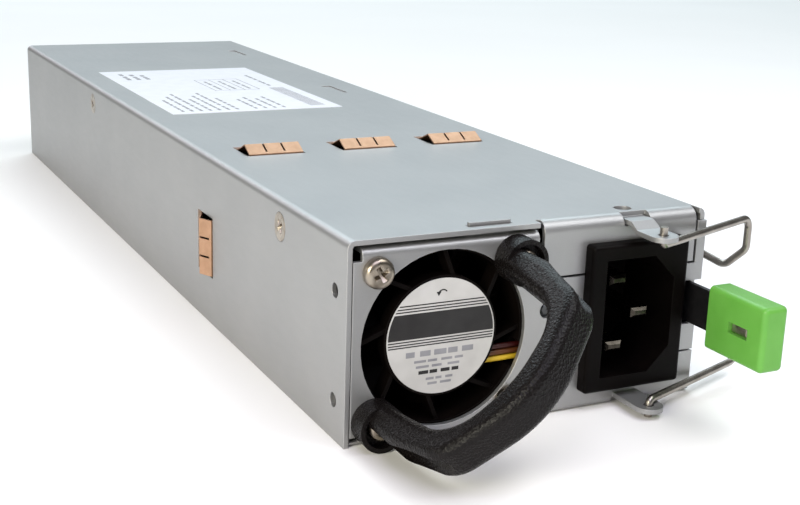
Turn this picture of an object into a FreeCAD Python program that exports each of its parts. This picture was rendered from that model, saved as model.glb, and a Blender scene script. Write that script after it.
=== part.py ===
import FreeCAD, Part
import math
import operator
import os
import Sketcher
from FreeCAD import Placement, Rotation, Vector

# Hot-swap server power supply, in millimetres.
# Origin in the middle of the case's underside, +X to the right seen from the front,
# +Y to the rear, +Z up.

SIZES = {
    # Sheet-metal case
    "case_width": 79.6,
    "case_length": 290.0,
    "skin": 1.0,
    "bend": 1.6,
    "seam": 0.2,
    "tray_wall_height": 9.0,
    "tray_wall_inset": 6.0,
    "panel_gap": 0.7,
    "panel_lip": 8.0,
    "lip_gap": 0.1,
    "corner_notch_width": 1.8,
    "corner_notch_height": 2.4,
    "foot_notch_height": 0.9,
    "flange_bend": 2.4,
    "flange_seam": 0.5,
    "flange_drop": 11.1,
    "flange_gap": 1.1,
    "flange_side_relief": 1.0,
    "relief_width": 0.6,
    "strip_seam_height": 9.2,
    "strip_seam_width": 0.4,
    "strip_proud": 0.7,
    "strip_drop": 2.7,
    "hook_setback": 2.3,
    "hook_thickness": 0.8,
    "hook_left": 5.4,
    "hook_width": 9.0,
    "hook_proud": 0.7,
    "hook_room": 0.3,
    # Holes and dents in the cover
    "top_hole_radius": 1.8,
    "top_hole_setback": 5.2,
    "side_hole_radius": 1.45,
    "side_hole_setback": 5.3,
    "side_hole_low": 7.9,
    "side_hole_high": 29.4,
    "dent_inset": 11.0,
    "dent_width": 3.0,
    "dent_length": 14.0,
    "dent_depth": 0.4,
    "dent_front": 165.0,
    "dent_rear": 254.5,
    # Cover screws
    "screw_drop": 5.5,
    "left_screw_setback": 33.4,
    "right_screw_setback": 100.0,
    "rear_screw_setback": 190.0,
    "screw_tab_width": 13.0,
    "flat_head_radius": 3.0,
    "thread_radius": 1.5,
    "thread_clearance": 0.05,
    "free_hole_radius": 1.7,
    "cover_screw_length": 5.0,
    "head_clearance": 0.1,
    # Spring-finger strips
    "finger_setback": 81.5,
    "finger_spacing": 24.0,
    "finger_slot_width": 14.4,
    "finger_slot_length": 11.0,
    "finger_strip_width": 13.4,
    "finger_rise": 2.0,
    "finger_foil": 0.3,
    "finger_slit": 0.45,
    "finger_hook": 1.6,
    "side_finger_height": 18.6,
    # Fan
    "fan_size": 36.0,
    "fan_depth": 28.0,
    "fan_gap": 0.3,
    "fan_lift": 0.2,
    "fan_rim": 0.5,
    "fan_wall": 1.0,
    "fan_screw_inset": 3.5,
    "fan_flange": 4.0,
    "fan_corner": 3.0,
    "hub_radius": 12.0,
    "hub_recess": 0.6,
    "hub_thickness": 2.9,
    "vane_start": 0.9,
    "vane_depth": 3.6,
    "vane_thickness": 0.9,
    "vane_sweep": 14.0,
    "label_radius": 11.5,
    "label_thickness": 0.1,
    "tube_radius": 3.6,
    "tube_end": 21.0,
    "bearing_radius": 3.0,
    "bearing_width": 2.5,
    "shaft_radius": 1.0,
    "shaft_play": 0.04,
    "rotor_start": 4.4,
    "rotor_end": 24.5,
    "rotor_wall": 1.1,
    "rotor_radius": 10.9,
    "rotor_boss": 2.4,
    "tip_gap": 0.6,
    "blade_thickness": 1.0,
    "blade_camber": 1.4,
    "blade_root_lean": 3.6,
    "blade_tip_lean": 6.6,
    "blade_start": 6.0,
    "blade_end": 23.0,
    "magnet_thickness": 1.2,
    "magnet_gap": 0.05,
    "air_gap": 0.4,
    "stator_start": 8.0,
    "stator_length": 10.0,
    "fan_lead_radius": 0.55,
    "fan_lead_step": 1.25,
    "fan_lead_drop": 4.2,
    "fan_lead_depth": 1.9,
    "fan_lead_reach": 4.2,
    "fan_connector_setback": 39.0,
    # Pan-head screws at the fan's corners
    "pan_head_radius": 3.0,
    "pan_head_height": 2.0,
    "fan_screw_length": 8.0,
    "handle_head_radius": 2.6,
    # Pull handle
    "handle_width": 7.8,
    "handle_reach": 36.2,
    "grip_depth": 7.5,
    "outer_corner_drop": 9.2,
    "outer_corner_inset": 3.1,
    "inner_corner_drop": 3.8,
    "inner_corner_inset": 2.8,
    "arm_inside": 3.4,
    "arm_outside": 1.4,
    "arm_knee": 13.0,
    "handle_round": 2.0,
    "knee_round": 12.0,
    "corner_outer_round": 8.0,
    "corner_inner_round": 11.0,
    "apex_outer_round": 20.0,
    "apex_inner_round": 18.0,
    "foot_radius": 4.6,
    "foot_thickness": 2.6,
    "foot_bore": 2.9,
    "cup_bore": 3.7,
    "cup_height": 4.6,
    # Mains inlet
    "inlet_inset": 16.8,
    "inlet_drop": 0.5,
    "inlet_stack": 9.3,
    "bezel_width": 23.2,
    "bezel_height": 30.7,
    "bezel_proud": 2.8,
    "bezel_round": 0.8,
    "bezel_lap": 1.2,
    "inlet_body_depth": 18.0,
    "inlet_side_wall": 2.15,
    "inlet_end_wall": 1.9,
    "cavity_chamfer": 5.0,
    "cavity_depth": 16.8,
    "pin_width": 4.0,
    "pin_thickness": 2.0,
    "pin_spacing": 14.0,
    "pin_inset": 3.1,
    "earth_inset": 1.9,
    "earth_extra": 1.0,
    "pin_tail": 9.0,
    "pin_point": 0.6,
    "slot_clearance": 0.05,
    # Ears and wire bale
    "ear_root": 5.6,
    "ear_end_radius": 2.9,
    "ear_reach": 8.3,
    "ear_shift": 0.3,
    "upper_ear_drop": 2.3,
    "ear_flat": 1.4,
    "ear_slope": 2.2,
    "ear_tongue": 5.0,
    "lower_ear_height": 1.5,
    "ear_notch_margin": 0.4,
    "wire_radius": 0.8,
    "ear_clearance": 0.25,
    "wire_bend": 1.0,
    "wire_ear_gap": 0.05,
    "upper_stub": 1.6,
    "lower_stub": 1.4,
    "bale_length": 34.1,
    "bale_open_angle": 21.0,
    "bale_corner": 2.4,
    "knee_half": 9.1,
    "neck_half": 4.5,
    "neck_set": 4.7,
    "loop_half": 6.9,
    "loop_width": 13.5,
    # Latch
    "latch_thickness": 1.0,
    "latch_gap": 0.2,
    "latch_height": 8.4,
    "latch_level": 20.0,
    "latch_slot_margin": 0.5,
    "latch_pivot": 53.0,
    "latch_root_length": 16.0,
    "latch_root_gap": 0.3,
    "catch_setback": 14.0,
    "catch_ramp": 9.0,
    "catch_flat": 1.2,
    "catch_proud": 1.5,
    "catch_margin": 1.5,
    "arm_reach": 9.6,
    "tongue_height": 5.2,
    "tongue_length": 13.0,
    "tab_length": 16.4,
    "tab_height": 13.2,
    "tab_thickness": 5.8,
    "tab_outset": 2.1,
    "tab_round": 1.1,
    "tab_fit": 0.06,
    "window_length": 5.6,
    "window_height": 2.2,
    "window_setback": 6.3,
    "lance_set": 1.0,
    "lance_room": 0.15,
    "lance_ramp": 1.3,
    "rivet_radius": 1.5,
    "rivet_head_radius": 2.5,
    "rivet_head_height": 0.9,
    "rivet_spacing": 8.0,
    # Labels and status light
    "plate_width": 49.5,
    "plate_length": 82.0,
    "plate_setback": 134.0,
    "plate_inset": 8.3,
    "led_height": 22.2,
    "led_offset": 4.5,
    "led_radius": 1.5,
    "led_hole_radius": 1.7,
    "led_flange_radius": 2.2,
    "led_flange": 1.0,
    "led_length": 6.5,
    # Rear panel and output connector
    "vent_radius": 2.3,
    "vent_web": 1.4,
    "connector_width": 58.0,
    "connector_height": 12.0,
    "connector_depth": 22.0,
    "connector_proud": 5.0,
    "blade_slot_width": 2.4,
    "blade_slot_height": 8.4,
    "blade_slot_depth": 12.0,
    "blade_spacing": 6.2,
    "contact_thickness": 0.9,
    "contact_height": 7.0,
    "contact_length": 9.0,
    "signal_hole": 1.3,
    "signal_spacing": 2.4,
    "signal_depth": 8.0,
    # Board and what stands on it
    "film_thickness": 0.3,
    "standoff_height": 5.0,
    "standoff_radius": 2.6,
    "standoff_inset": 4.0,
    "standoff_middle": 100.0,
    "film_hole_margin": 1.0,
    "board_thickness": 1.6,
    "board_side_gap": 1.6,
    "board_front": 35.0,
    "board_rear_gap": 9.0,
    "board_screw_head": 2.4,
    "board_screw_head_height": 1.4,
    "lead_radius": 0.9,
    "lead_reach": 12.0,
    "lead_stagger": 4.5,
    "tall_gap": 2.4,
    "parts_gap": 1.0,
    "film_cap_width": 8.5,
    "film_cap_length": 18.0,
    "film_cap_height": 14.5,
    "film_cap_round": 1.0,
    "film_cap_spacing": 12.0,
    "film_cap_inset": 14.0,
    "filter_row": 42.0,
    "disc_radius": 4.2,
    "disc_face_radius": 3.6,
    "disc_thickness": 3.0,
    "disc_edge": 0.8,
    "disc_spacing": 11.0,
    "disc_inset": 5.0,
    "relay_row": 56.0,
    "relay_width": 10.0,
    "relay_length": 20.0,
    "relay_height": 15.5,
    "relay_inset": 8.0,
    "fuse_radius": 4.2,
    "fuse_height": 8.0,
    "fuse_edge": 0.6,
    "fuse_inset": 6.0,
    "fuse_row": 26.0,
    "choke_row": 26.4,
    "toroid_clearance": 0.15,
    "choke_radius": 12.0,
    "choke_bore": 6.5,
    "choke_height": 10.0,
    "choke_wire": 1.6,
    "pfc_row": 77.0,
    "pfc_radius": 14.0,
    "pfc_bore": 7.0,
    "pfc_height": 13.0,
    "pfc_wire": 1.6,
    "bulk_row": 107.0,
    "bulk_radius": 11.0,
    "bulk_inset": 19.0,
    "heatsink_row": 72.0,
    "heatsink_base": 3.0,
    "heatsink_depth": 13.0,
    "heatsink_length": 62.0,
    "fin_thickness": 1.4,
    "fin_spacing": 5.0,
    "transistor_width": 15.6,
    "transistor_height": 18.0,
    "transistor_thickness": 4.8,
    "bridge_width": 18.6,
    "package_leg": 1.0,
    "package_lift": 5.0,
    "transformer_row": 152.5,
    "transformer_inset": 18.0,
    "core_length": 34.0,
    "core_width": 30.0,
    "core_leg": 5.0,
    "core_post_radius": 6.5,
    "core_plate": 6.0,
    "winding_gap": 0.2,
    "winding_radius": 11.0,
    "output_cap_radius": 4.0,
    "output_cap_height": 14.0,
    "busbar_thickness": 2.0,
    "busbar_height": 9.0,
    "busbar_length": 30.0,
    "card_inset": 1.6,
    "card_length": 44.0,
    "card_setback": 22.0,
}

VANE_COUNT = 8
BLADE_COUNT = 7
FINGERS = 3
POLES = 4

# Start and sweep of each coil section round its core, in degrees
CHOKE_COILS = [(15.0, 150.0), (195.0, 150.0)]
BOOST_COIL = [(20.0, 320.0)]

# Legs of the power packages
TRANSISTOR_LEGS = 3
BRIDGE_LEGS = 4

# Rear connector: a row of power blades and a block of signal holes, shifted to either side
POWER_BLADES = 6
POWER_SHIFT = 1 / 3
SIGNAL_COLUMNS = 5
SIGNAL_ROWS = 4
SIGNAL_SHIFT = 0.55

# Shares of a head's radius and height that shape screws and rivets
PAN_CROWN = 0.55
PAN_ROUND_OUT = 0.85
PAN_ROUND_UP = 0.75
PAN_WALL = 0.4
BOARD_SCREW_TOP = 0.8
RIVET_TOP = 0.6

# Shares of a stator pole's reach: neck, rim and tip of its shoe, and half the shoe's width
POLE_NECK = 0.72
POLE_RIM = 0.85
POLE_TIP = 0.98
POLE_HALF = 0.5

# Shares that shape a spring finger's peak and the light's nose
FINGER_PEAK = 0.3
LED_NOSE = 0.6
LED_SHOULDER = 0.5

# Shares of a can's radius: depth of the rolled groove, and the heights of the foot, the groove and the wall
CAN_GROOVE = 0.06
CAN_FOOT = 0.14
CAN_GROOVE_LEVEL = 0.224
CAN_WALL_LEVEL = 0.308

# Most of a lead's shorter run that a bend may take, and the share its volume may be off by
BEND_SHARE = 0.45
VOLUME_SLACK = 0.01

# Tolerances for picking edges: places that count as one, the shortest edge and the cosine for parallel
SAME_PLACE = 0.02
SHORTEST_EDGE = 0.01
PARALLEL = 0.999

# Most of each half of the grip that the arc in its middle may take
OUTER_ARC_SHARE = 0.64
INNER_ARC_SHARE = 0.36

document = FreeCAD.newDocument("power_supply")
sheet = document.addObject("Spreadsheet::Sheet", "dims")
for row, (name, number) in enumerate(SIZES.items(), start=1):
    sheet.set(f"A{row}", name)
    sheet.set(f"B{row}", str(number))
    sheet.setAlias(f"B{row}", name)
document.recompute()

OPERATIONS = {"+": operator.add, "-": operator.sub, "*": operator.mul, "/": operator.truediv}


def worth(item):
    """Millimetres of a size or of a plain number."""
    return item.value if isinstance(item, Size) else float(item)


def formula(item):
    """Sheet formula of a size or of a plain number."""
    return item.formula if isinstance(item, Size) else f"({float(item)!r})"


class Size:
    """A number together with the sheet formula that gives it."""

    def __init__(self, value, text):
        self.value = value
        self.formula = text

    def __float__(self):
        return self.value

    def __add__(self, other):
        return combine(self, "+", other)

    def __radd__(self, other):
        return combine(other, "+", self)

    def __sub__(self, other):
        return combine(self, "-", other)

    def __rsub__(self, other):
        return combine(other, "-", self)

    def __mul__(self, other):
        return combine(self, "*", other)

    def __rmul__(self, other):
        return combine(other, "*", self)

    def __truediv__(self, other):
        return combine(self, "/", other)

    def __neg__(self):
        return combine(-1.0, "*", self)


def combine(left, sign, right):
    """Size that joins two others with one sign."""
    value = OPERATIONS[sign](worth(left), worth(right))
    return Size(value, f"({formula(left)} {sign} {formula(right)})")


def largest(first, second):
    """The greater of two sizes."""
    value = max(worth(first), worth(second))
    return Size(value, f"max({formula(first)}; {formula(second)})")


def smallest(first, second):
    """The lesser of two sizes."""
    value = min(worth(first), worth(second))
    return Size(value, f"min({formula(first)}; {formula(second)})")


class Sheet:
    """The driving dimensions, one attribute for each alias."""


d = Sheet()
for name in SIZES:
    setattr(d, name, Size(float(sheet.get(name)), f"dims.{name}"))

nodes = {}


def keep(item, label):
    """Name a finished sub-part; the label names its file."""
    item.Label = label
    nodes[label] = item
    return item


def bind(item, prop, size):
    """Tie a property to the sheet."""
    item.setExpression(prop, formula(size))


def place(item, x=0.0, y=0.0, z=0.0, rotation=None):
    """Set an object's place, tied to the sheet."""
    item.Placement = Placement(Vector(worth(x), worth(y), worth(z)), rotation or Rotation())
    for letter, size in zip("xyz", (x, y, z)):
        bind(item, f"Placement.Base.{letter}", size)


# Bodies, sketches and features


def new_body(label):
    return document.addObject("PartDesign::Body", label)


def origin_part(body, role):
    return next(item for item in body.Origin.OriginFeatures if item.Role == role)


def sketch_on(body, role, offset=0.0):
    """Sketch on one of the body's own planes, moved along the plane's normal."""
    sketch = body.newObject("Sketcher::SketchObject", f"{body.Name}_sketch")
    sketch.AttachmentSupport = [(origin_part(body, role), "")]
    sketch.MapMode = "FlatFace"
    bind(sketch, "AttachmentOffset.Base.z", offset)
    return sketch


def hold(sketch, kind, geometry, point, size):
    """Constrain one coordinate of a point to the sheet."""
    index = sketch.addConstraint(Sketcher.Constraint(kind, geometry, point, worth(size)))
    sketch.setExpression(f"Constraints[{index}]", formula(size))


def outline(sketch, points):
    """Closed run of straight lines through the points."""
    first = sketch.GeometryCount
    count = len(points)
    corners = [Vector(worth(x), worth(y), 0) for x, y in points]
    for index, corner in enumerate(corners):
        sketch.addGeometry(Part.LineSegment(corner, corners[(index + 1) % count]), False)
    for index, (x, y) in enumerate(points):
        follower = first + (index + 1) % count
        sketch.addConstraint(Sketcher.Constraint("Coincident", first + index, 2, follower, 1))
        hold(sketch, "DistanceX", first + index, 1, x)
        hold(sketch, "DistanceY", first + index, 1, y)


def rectangle(left, right, low, top):
    return [(left, low), (right, low), (right, top), (left, top)]


def circle(sketch, x, y, radius):
    curve = Part.Circle(Vector(worth(x), worth(y), 0), Vector(0, 0, 1), worth(radius))
    index = sketch.addGeometry(curve, False)
    hold(sketch, "DistanceX", index, 3, x)
    hold(sketch, "DistanceY", index, 3, y)
    rule = sketch.addConstraint(Sketcher.Constraint("Radius", index, worth(radius)))
    sketch.setExpression(f"Constraints[{rule}]", formula(radius))


def draw(sketch, shapes):
    """Put outlines (lists of points) and circles (x, y, radius) into a sketch."""
    for shape in shapes:
        if isinstance(shape, tuple):
            circle(sketch, *shape)
        else:
            outline(sketch, shape)


def grow(body, role, offset, shapes, length, towards=1):
    """Pad shapes drawn on a plane; towards is 1 along the plane's normal, -1 against it."""
    sketch = sketch_on(body, role, offset)
    draw(sketch, shapes)
    feature = body.newObject("PartDesign::Pad", f"{body.Name}_pad")
    feature.Profile = sketch
    feature.Reversed = towards < 0
    bind(feature, "Length", length)
    document.recompute()
    return feature


def carve(body, role, offset, shapes, depth, towards=-1):
    """Pocket shapes drawn on a plane and check that material went."""
    before = body.Shape.Volume
    sketch = sketch_on(body, role, offset)
    draw(sketch, shapes)
    feature = body.newObject("PartDesign::Pocket", f"{body.Name}_pocket")
    feature.Profile = sketch
    feature.Reversed = towards > 0
    bind(feature, "Length", depth)
    document.recompute()
    if body.Shape.Volume >= before:
        raise RuntimeError(f"{feature.Name} cuts nothing")
    return feature


def revolve(body, points, axis_role):
    """Solid of revolution from an outline on the XY plane."""
    sketch = sketch_on(body, "XY_Plane")
    outline(sketch, points)
    feature = body.newObject("PartDesign::Revolution", f"{body.Name}_turn")
    feature.Profile = sketch
    feature.ReferenceAxis = (origin_part(body, axis_role), [""])
    feature.Angle = 360.0
    document.recompute()
    return feature


def ring_of(body, feature, count, axis_role="Y_Axis"):
    """Repeat a feature evenly round an axis of the body."""
    pattern = body.newObject("PartDesign::PolarPattern", f"{body.Name}_ring")
    pattern.Originals = [feature]
    pattern.Axis = (origin_part(body, axis_role), [""])
    pattern.Angle = 360.0
    pattern.Occurrences = count
    body.Tip = pattern
    document.recompute()
    return pattern


def runs_along(edge, axis):
    """True for a straight edge parallel to the axis."""
    chord = edge.Vertexes[-1].Point.sub(edge.Vertexes[0].Point)
    return chord.Length > SHORTEST_EDGE and abs(chord.dot(axis)) > PARALLEL * edge.Length


def near(first, second):
    return abs(worth(first) - worth(second)) < SAME_PLACE


def dress(body, kind, prop, size, test):
    """Fillet or chamfer of the edges that pass the test."""
    base = body.Tip
    names = [f"Edge{number}" for number, edge in enumerate(base.Shape.Edges, start=1) if test(edge)]
    feature = body.newObject(f"PartDesign::{kind}", f"{body.Name}_edges")
    feature.Base = (base, names)
    bind(feature, prop, size)
    document.recompute()
    return feature


def round_edges(body, radius, test):
    return dress(body, "Fillet", "Radius", radius, test)


def bevel_edges(body, size, test):
    return dress(body, "Chamfer", "Size", size, test)


X_AXIS = Vector(1, 0, 0)
Y_AXIS = Vector(0, 1, 0)
Z_AXIS = Vector(0, 0, 1)

# Simple solids and groups


def block(label, left, right, fore, aft, low, top):
    """Box between six planes."""
    item = document.addObject("Part::Box", label)
    bind(item, "Length", right - left)
    bind(item, "Width", aft - fore)
    bind(item, "Height", top - low)
    place(item, left, fore, low)
    return item


def drum(label, radius, height, x, y, z, rotation=None):
    """Cylinder that starts at a point, upright unless turned."""
    item = document.addObject("Part::Cylinder", label)
    bind(item, "Radius", radius)
    bind(item, "Height", height)
    place(item, x, y, z, rotation)
    return item


def cut_away(label, base, tools):
    """Base object less the tools."""
    fused = document.addObject("Part::Compound", f"{label}_tools")
    fused.Links = tools
    item = document.addObject("Part::Cut", label)
    item.Base = base
    item.Tool = fused
    return item


def group(label, shapes):
    """One node that holds several separate solids, already in place."""
    item = document.addObject("Part::Feature", label)
    item.Shape = Part.makeCompound(shapes)
    return keep(item, label)


def copies(master, places, rotation=None):
    """Copies of a master's solid at each place."""
    document.recompute()
    solids = []
    for x, y, z in places:
        solid = master.Shape.copy()
        solid.Placement = Placement(Vector(worth(x), worth(y), worth(z)), rotation or Rotation())
        solids.append(solid)
    return solids


def rounded_path(points, radii):
    """Wire of straight runs joined by tangent arcs, one radius for each inner point."""
    edges = []
    start = points[0]
    for before, corner, after, radius in zip(points, points[1:], points[2:], radii):
        inward = corner.sub(before).normalize()
        outward = after.sub(corner).normalize()
        half_turn = inward.getAngle(outward) / 2
        setback = radius * math.tan(half_turn)
        arc_start = corner - inward * setback
        arc_end = corner + outward * setback
        bisector = (outward - inward).normalize()
        arc_middle = corner + bisector * (radius / math.cos(half_turn) - radius)
        if arc_start.distanceToPoint(start) > 1e-6:
            edges.append(Part.LineSegment(start, arc_start).toShape())
        edges.append(Part.Arc(arc_start, arc_middle, arc_end).toShape())
        start = arc_end
    edges.append(Part.LineSegment(start, points[-1]).toShape())
    return Part.Wire(edges)


def tube(label, points, radii, radius):
    """Round bar along a path; its volume has to be its section times its length."""
    path = rounded_path(points, radii)
    along = points[1].sub(points[0])
    section = Part.Wire(Part.makeCircle(radius, points[0], along))
    solid = path.makePipeShell([section], True, False)
    expected = math.pi * radius * radius * path.Length
    if abs(solid.Volume - expected) > VOLUME_SLACK * expected:
        raise RuntimeError(f"{label} has the wrong volume")
    item = document.addObject("Part::Feature", label)
    item.Shape = solid
    return keep(item, label)


def widest_bends(points):
    """Largest arc radii that the runs of a lead leave room for."""
    radii = []
    for before, corner, after in zip(points, points[1:], points[2:]):
        inward = corner.sub(before)
        outward = after.sub(corner)
        shorter = min(inward.Length, outward.Length)
        radii.append(BEND_SHARE * shorter / math.tan(inward.getAngle(outward) / 2))
    return radii


# Planes and centres that the pieces share

half = d.case_width / 2
over_fan = d.lip_gap + d.skin + d.panel_gap + d.skin
high = largest(d.skin + d.fan_lift + d.fan_size + over_fan, d.bezel_height + d.inlet_stack)
front = -(d.case_length / 2)
rear = d.case_length / 2
ceiling = high - d.skin
tray_half = half - d.skin - d.seam
wall_half = tray_half - d.skin
panel_inside = front + d.skin
panel_top = ceiling - d.panel_gap

fan_x = d.fan_gap + d.fan_size / 2 - wall_half
fan_z = d.skin + d.fan_lift + d.fan_size / 2
fan_right = fan_x + d.fan_size / 2
fan_bore = d.fan_size / 2 - d.fan_wall
fan_opening = d.fan_size / 2 - d.fan_rim
screw_offset = d.fan_size / 2 - d.fan_screw_inset

panel_step = fan_right + d.panel_gap + d.flange_gap
flange_left = panel_step + d.flange_gap
flange_right = half - d.skin - d.flange_side_relief
flange_bottom = high - d.flange_drop
strip_left = flange_right + d.relief_width
strip_top = high - d.strip_drop
hook_fore = front + d.hook_setback
hook_left = fan_x + d.hook_left

inlet_x = half - d.inlet_inset
inlet_z = high / 2 - d.inlet_drop
inlet_body_width = d.bezel_width - 2 * d.bezel_lap
inlet_body_height = d.bezel_height - 2 * d.bezel_lap
body_half_width = inlet_body_width / 2 + d.seam
body_half_height = inlet_body_height / 2 + d.seam

eye_x = inlet_x + d.ear_shift
eye_y = front - d.ear_reach
upper_ear = high - d.upper_ear_drop - d.skin
lower_ear = d.lower_ear_height
eye_radius = d.wire_radius + d.ear_clearance
ear_left = eye_x - d.ear_root / 2
ear_right = eye_x + d.ear_root / 2

finger_y = front + d.finger_setback
latch_low = d.latch_level - d.latch_height / 2
latch_top = d.latch_level + d.latch_height / 2
latch_outer = half - d.skin - d.latch_gap
latch_inner = latch_outer - d.latch_thickness
latch_axis_y = front + d.latch_pivot
catch_front = front + d.catch_setback
catch_rear = catch_front + d.catch_flat + d.catch_ramp

board_low = d.skin + d.standoff_height
board_top = board_low + d.board_thickness
board_half = wall_half - d.board_side_gap
board_fore = front + d.board_front
board_aft = rear - d.board_rear_gap
tall = ceiling - d.tall_gap

screw_height = high - d.screw_drop
left_screws = [front + d.left_screw_setback, front + d.rear_screw_setback]
right_screws = [front + d.right_screw_setback, front + d.rear_screw_setback]


# Cover


def ear(body, level, root_y):
    """Flat ear with a round end; the bale turns in its eye."""
    root = [
        (ear_left, root_y),
        (ear_right, root_y),
        (eye_x + d.ear_end_radius, eye_y),
        (eye_x - d.ear_end_radius, eye_y),
    ]
    grow(body, "XY_Plane", level, [root], d.skin)
    grow(body, "XY_Plane", level, [(eye_x, eye_y, d.ear_end_radius)], d.skin)
    carve(body, "XY_Plane", level, [(eye_x, eye_y, eye_radius)], d.skin, towards=1)


def make_cover():
    body = new_body("cover_sheet")
    front_plane = d.case_length / 2
    channel = [
        (-half, 0.0),
        (-half, high),
        (half, high),
        (half, 0.0),
        (half - d.skin, 0.0),
        (half - d.skin, ceiling),
        (d.skin - half, ceiling),
        (d.skin - half, 0.0),
    ]
    grow(body, "XZ_Plane", front_plane, [channel], d.case_length, towards=-1)

    def outer_fold(edge):
        middle = edge.BoundBox.Center
        return runs_along(edge, Y_AXIS) and near(abs(middle.x), half) and near(middle.z, high)

    def inner_fold(edge):
        middle = edge.BoundBox.Center
        return runs_along(edge, Y_AXIS) and near(abs(middle.x), half - d.skin) and near(middle.z, ceiling)

    round_edges(body, d.bend, outer_fold)
    round_edges(body, d.bend - d.skin, inner_fold)

    # Flange over the right half of the front, with slits at both of its ends
    flange = rectangle(flange_left, flange_right, flange_bottom, high)
    grow(body, "XZ_Plane", front_plane, [flange], d.skin, towards=-1)
    slit_top = high + d.skin
    slits = [
        rectangle(panel_step, flange_left, ceiling - d.skin, slit_top),
        rectangle(flange_right, flange_right + d.relief_width, flange_bottom, slit_top),
    ]
    carve(body, "XZ_Plane", front_plane, slits, d.flange_bend)

    def front_fold(edge):
        middle = edge.BoundBox.Center
        on_corner = near(middle.y, front) and near(middle.z, high)
        return runs_along(edge, X_AXIS) and on_corner and middle.x > worth(flange_left)

    def behind_fold(edge):
        middle = edge.BoundBox.Center
        on_corner = near(middle.y, front + d.skin) and near(middle.z, ceiling)
        return runs_along(edge, X_AXIS) and on_corner and middle.x > worth(flange_left)

    round_edges(body, d.flange_bend, front_fold)
    round_edges(body, d.flange_bend - d.skin, behind_fold)

    inlet_opening = rectangle(
        inlet_x - body_half_width,
        inlet_x + body_half_width,
        inlet_z - body_half_height,
        inlet_z + body_half_height,
    )
    carve(body, "XZ_Plane", front_plane, [inlet_opening], d.skin)
    ear_notch = rectangle(
        ear_left - d.ear_notch_margin,
        ear_right + d.ear_notch_margin,
        upper_ear + d.skin,
        slit_top,
    )
    carve(body, "XZ_Plane", front_plane, [ear_notch], d.flange_bend)

    # Upper ear: a tongue under the top that steps down in front of the flange
    tongue_rear = front + d.flange_bend + d.ear_tongue
    step_rear = front - d.ear_flat
    step_front = step_rear - d.ear_slope
    step = [
        (tongue_rear, ceiling),
        (step_rear, ceiling),
        (step_front, upper_ear + d.skin),
        (step_front, upper_ear),
        (step_rear, ceiling - d.skin),
        (tongue_rear, ceiling - d.skin),
    ]
    grow(body, "YZ_Plane", ear_left, [step], d.ear_root)
    ear(body, upper_ear, step_front)

    # Right wall ends behind the front strip; the top has a slot for the panel's hook
    behind_strip = rectangle(front, front + d.skin + d.seam, 0.0, strip_top + d.seam)
    carve(body, "YZ_Plane", half, [behind_strip], d.skin)
    hook_slot = rectangle(
        hook_left - d.hook_room,
        hook_left + d.hook_width + d.hook_room,
        hook_fore - d.hook_room,
        hook_fore + d.hook_thickness + d.hook_room,
    )
    carve(body, "XY_Plane", high, [hook_slot], d.skin)

    # Slots for the spring fingers, the vent hole and the two shallow dents
    slot_half = d.finger_slot_width / 2
    reach = d.finger_slot_length / 2
    top_slots = [
        rectangle(step * d.finger_spacing - slot_half, step * d.finger_spacing + slot_half,
                  finger_y - reach, finger_y + reach)
        for step in (-1, 0, 1)
    ]
    carve(body, "XY_Plane", high, top_slots, d.skin)
    carve(body, "XY_Plane", high, [(inlet_x, front + d.top_hole_setback, d.top_hole_radius)], d.skin)
    dents = [
        rectangle(half - d.dent_inset - d.dent_width / 2, half - d.dent_inset + d.dent_width / 2,
                  front + setback - d.dent_length / 2, front + setback + d.dent_length / 2)
        for setback in (d.dent_front, d.dent_rear)
    ]
    carve(body, "XY_Plane", high, dents, d.dent_depth)
    side_slot = rectangle(
        finger_y - reach,
        finger_y + reach,
        d.side_finger_height - slot_half,
        d.side_finger_height + slot_half,
    )
    carve(body, "YZ_Plane", -half, [side_slot], d.skin, towards=1)
    carve(body, "YZ_Plane", half, [side_slot], d.skin)
    side_holes = [
        (front + d.side_hole_setback, level, d.side_hole_radius)
        for level in (d.side_hole_low, d.side_hole_high)
    ]
    carve(body, "YZ_Plane", -half, side_holes, d.skin, towards=1)

    # Catch window and rivet holes of the latch, in the right side
    window = rectangle(
        catch_front - d.catch_margin,
        catch_rear + d.catch_margin,
        latch_low - d.latch_slot_margin,
        latch_top + d.latch_slot_margin,
    )
    carve(body, "YZ_Plane", half, [window], d.skin)
    rivets = [(y, d.latch_level, d.rivet_radius + d.thread_clearance) for y in rivet_rows()]
    carve(body, "YZ_Plane", half, rivets, d.skin)

    # Countersinks for the side screws
    sinks = []
    rim = d.flat_head_radius + d.head_clearance
    for x, turn, rows in ((-half, 90, left_screws), (half, -90, right_screws)):
        for y in rows:
            cone = document.addObject("Part::Cone", "countersink")
            bind(cone, "Radius1", rim)
            bind(cone, "Radius2", rim - d.skin)
            bind(cone, "Height", d.skin)
            place(cone, x, y, screw_height, Rotation(Y_AXIS, turn))
            sinks.append(cone)
    return keep(cut_away("cover", body, sinks), "cover")


def rivet_rows():
    """Y of the two rivets in the middle of the latch's root."""
    middle = latch_axis_y + d.latch_root_gap + d.latch_root_length / 2
    return [middle - d.rivet_spacing / 2, middle + d.rivet_spacing / 2]


# Chassis tray


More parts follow.
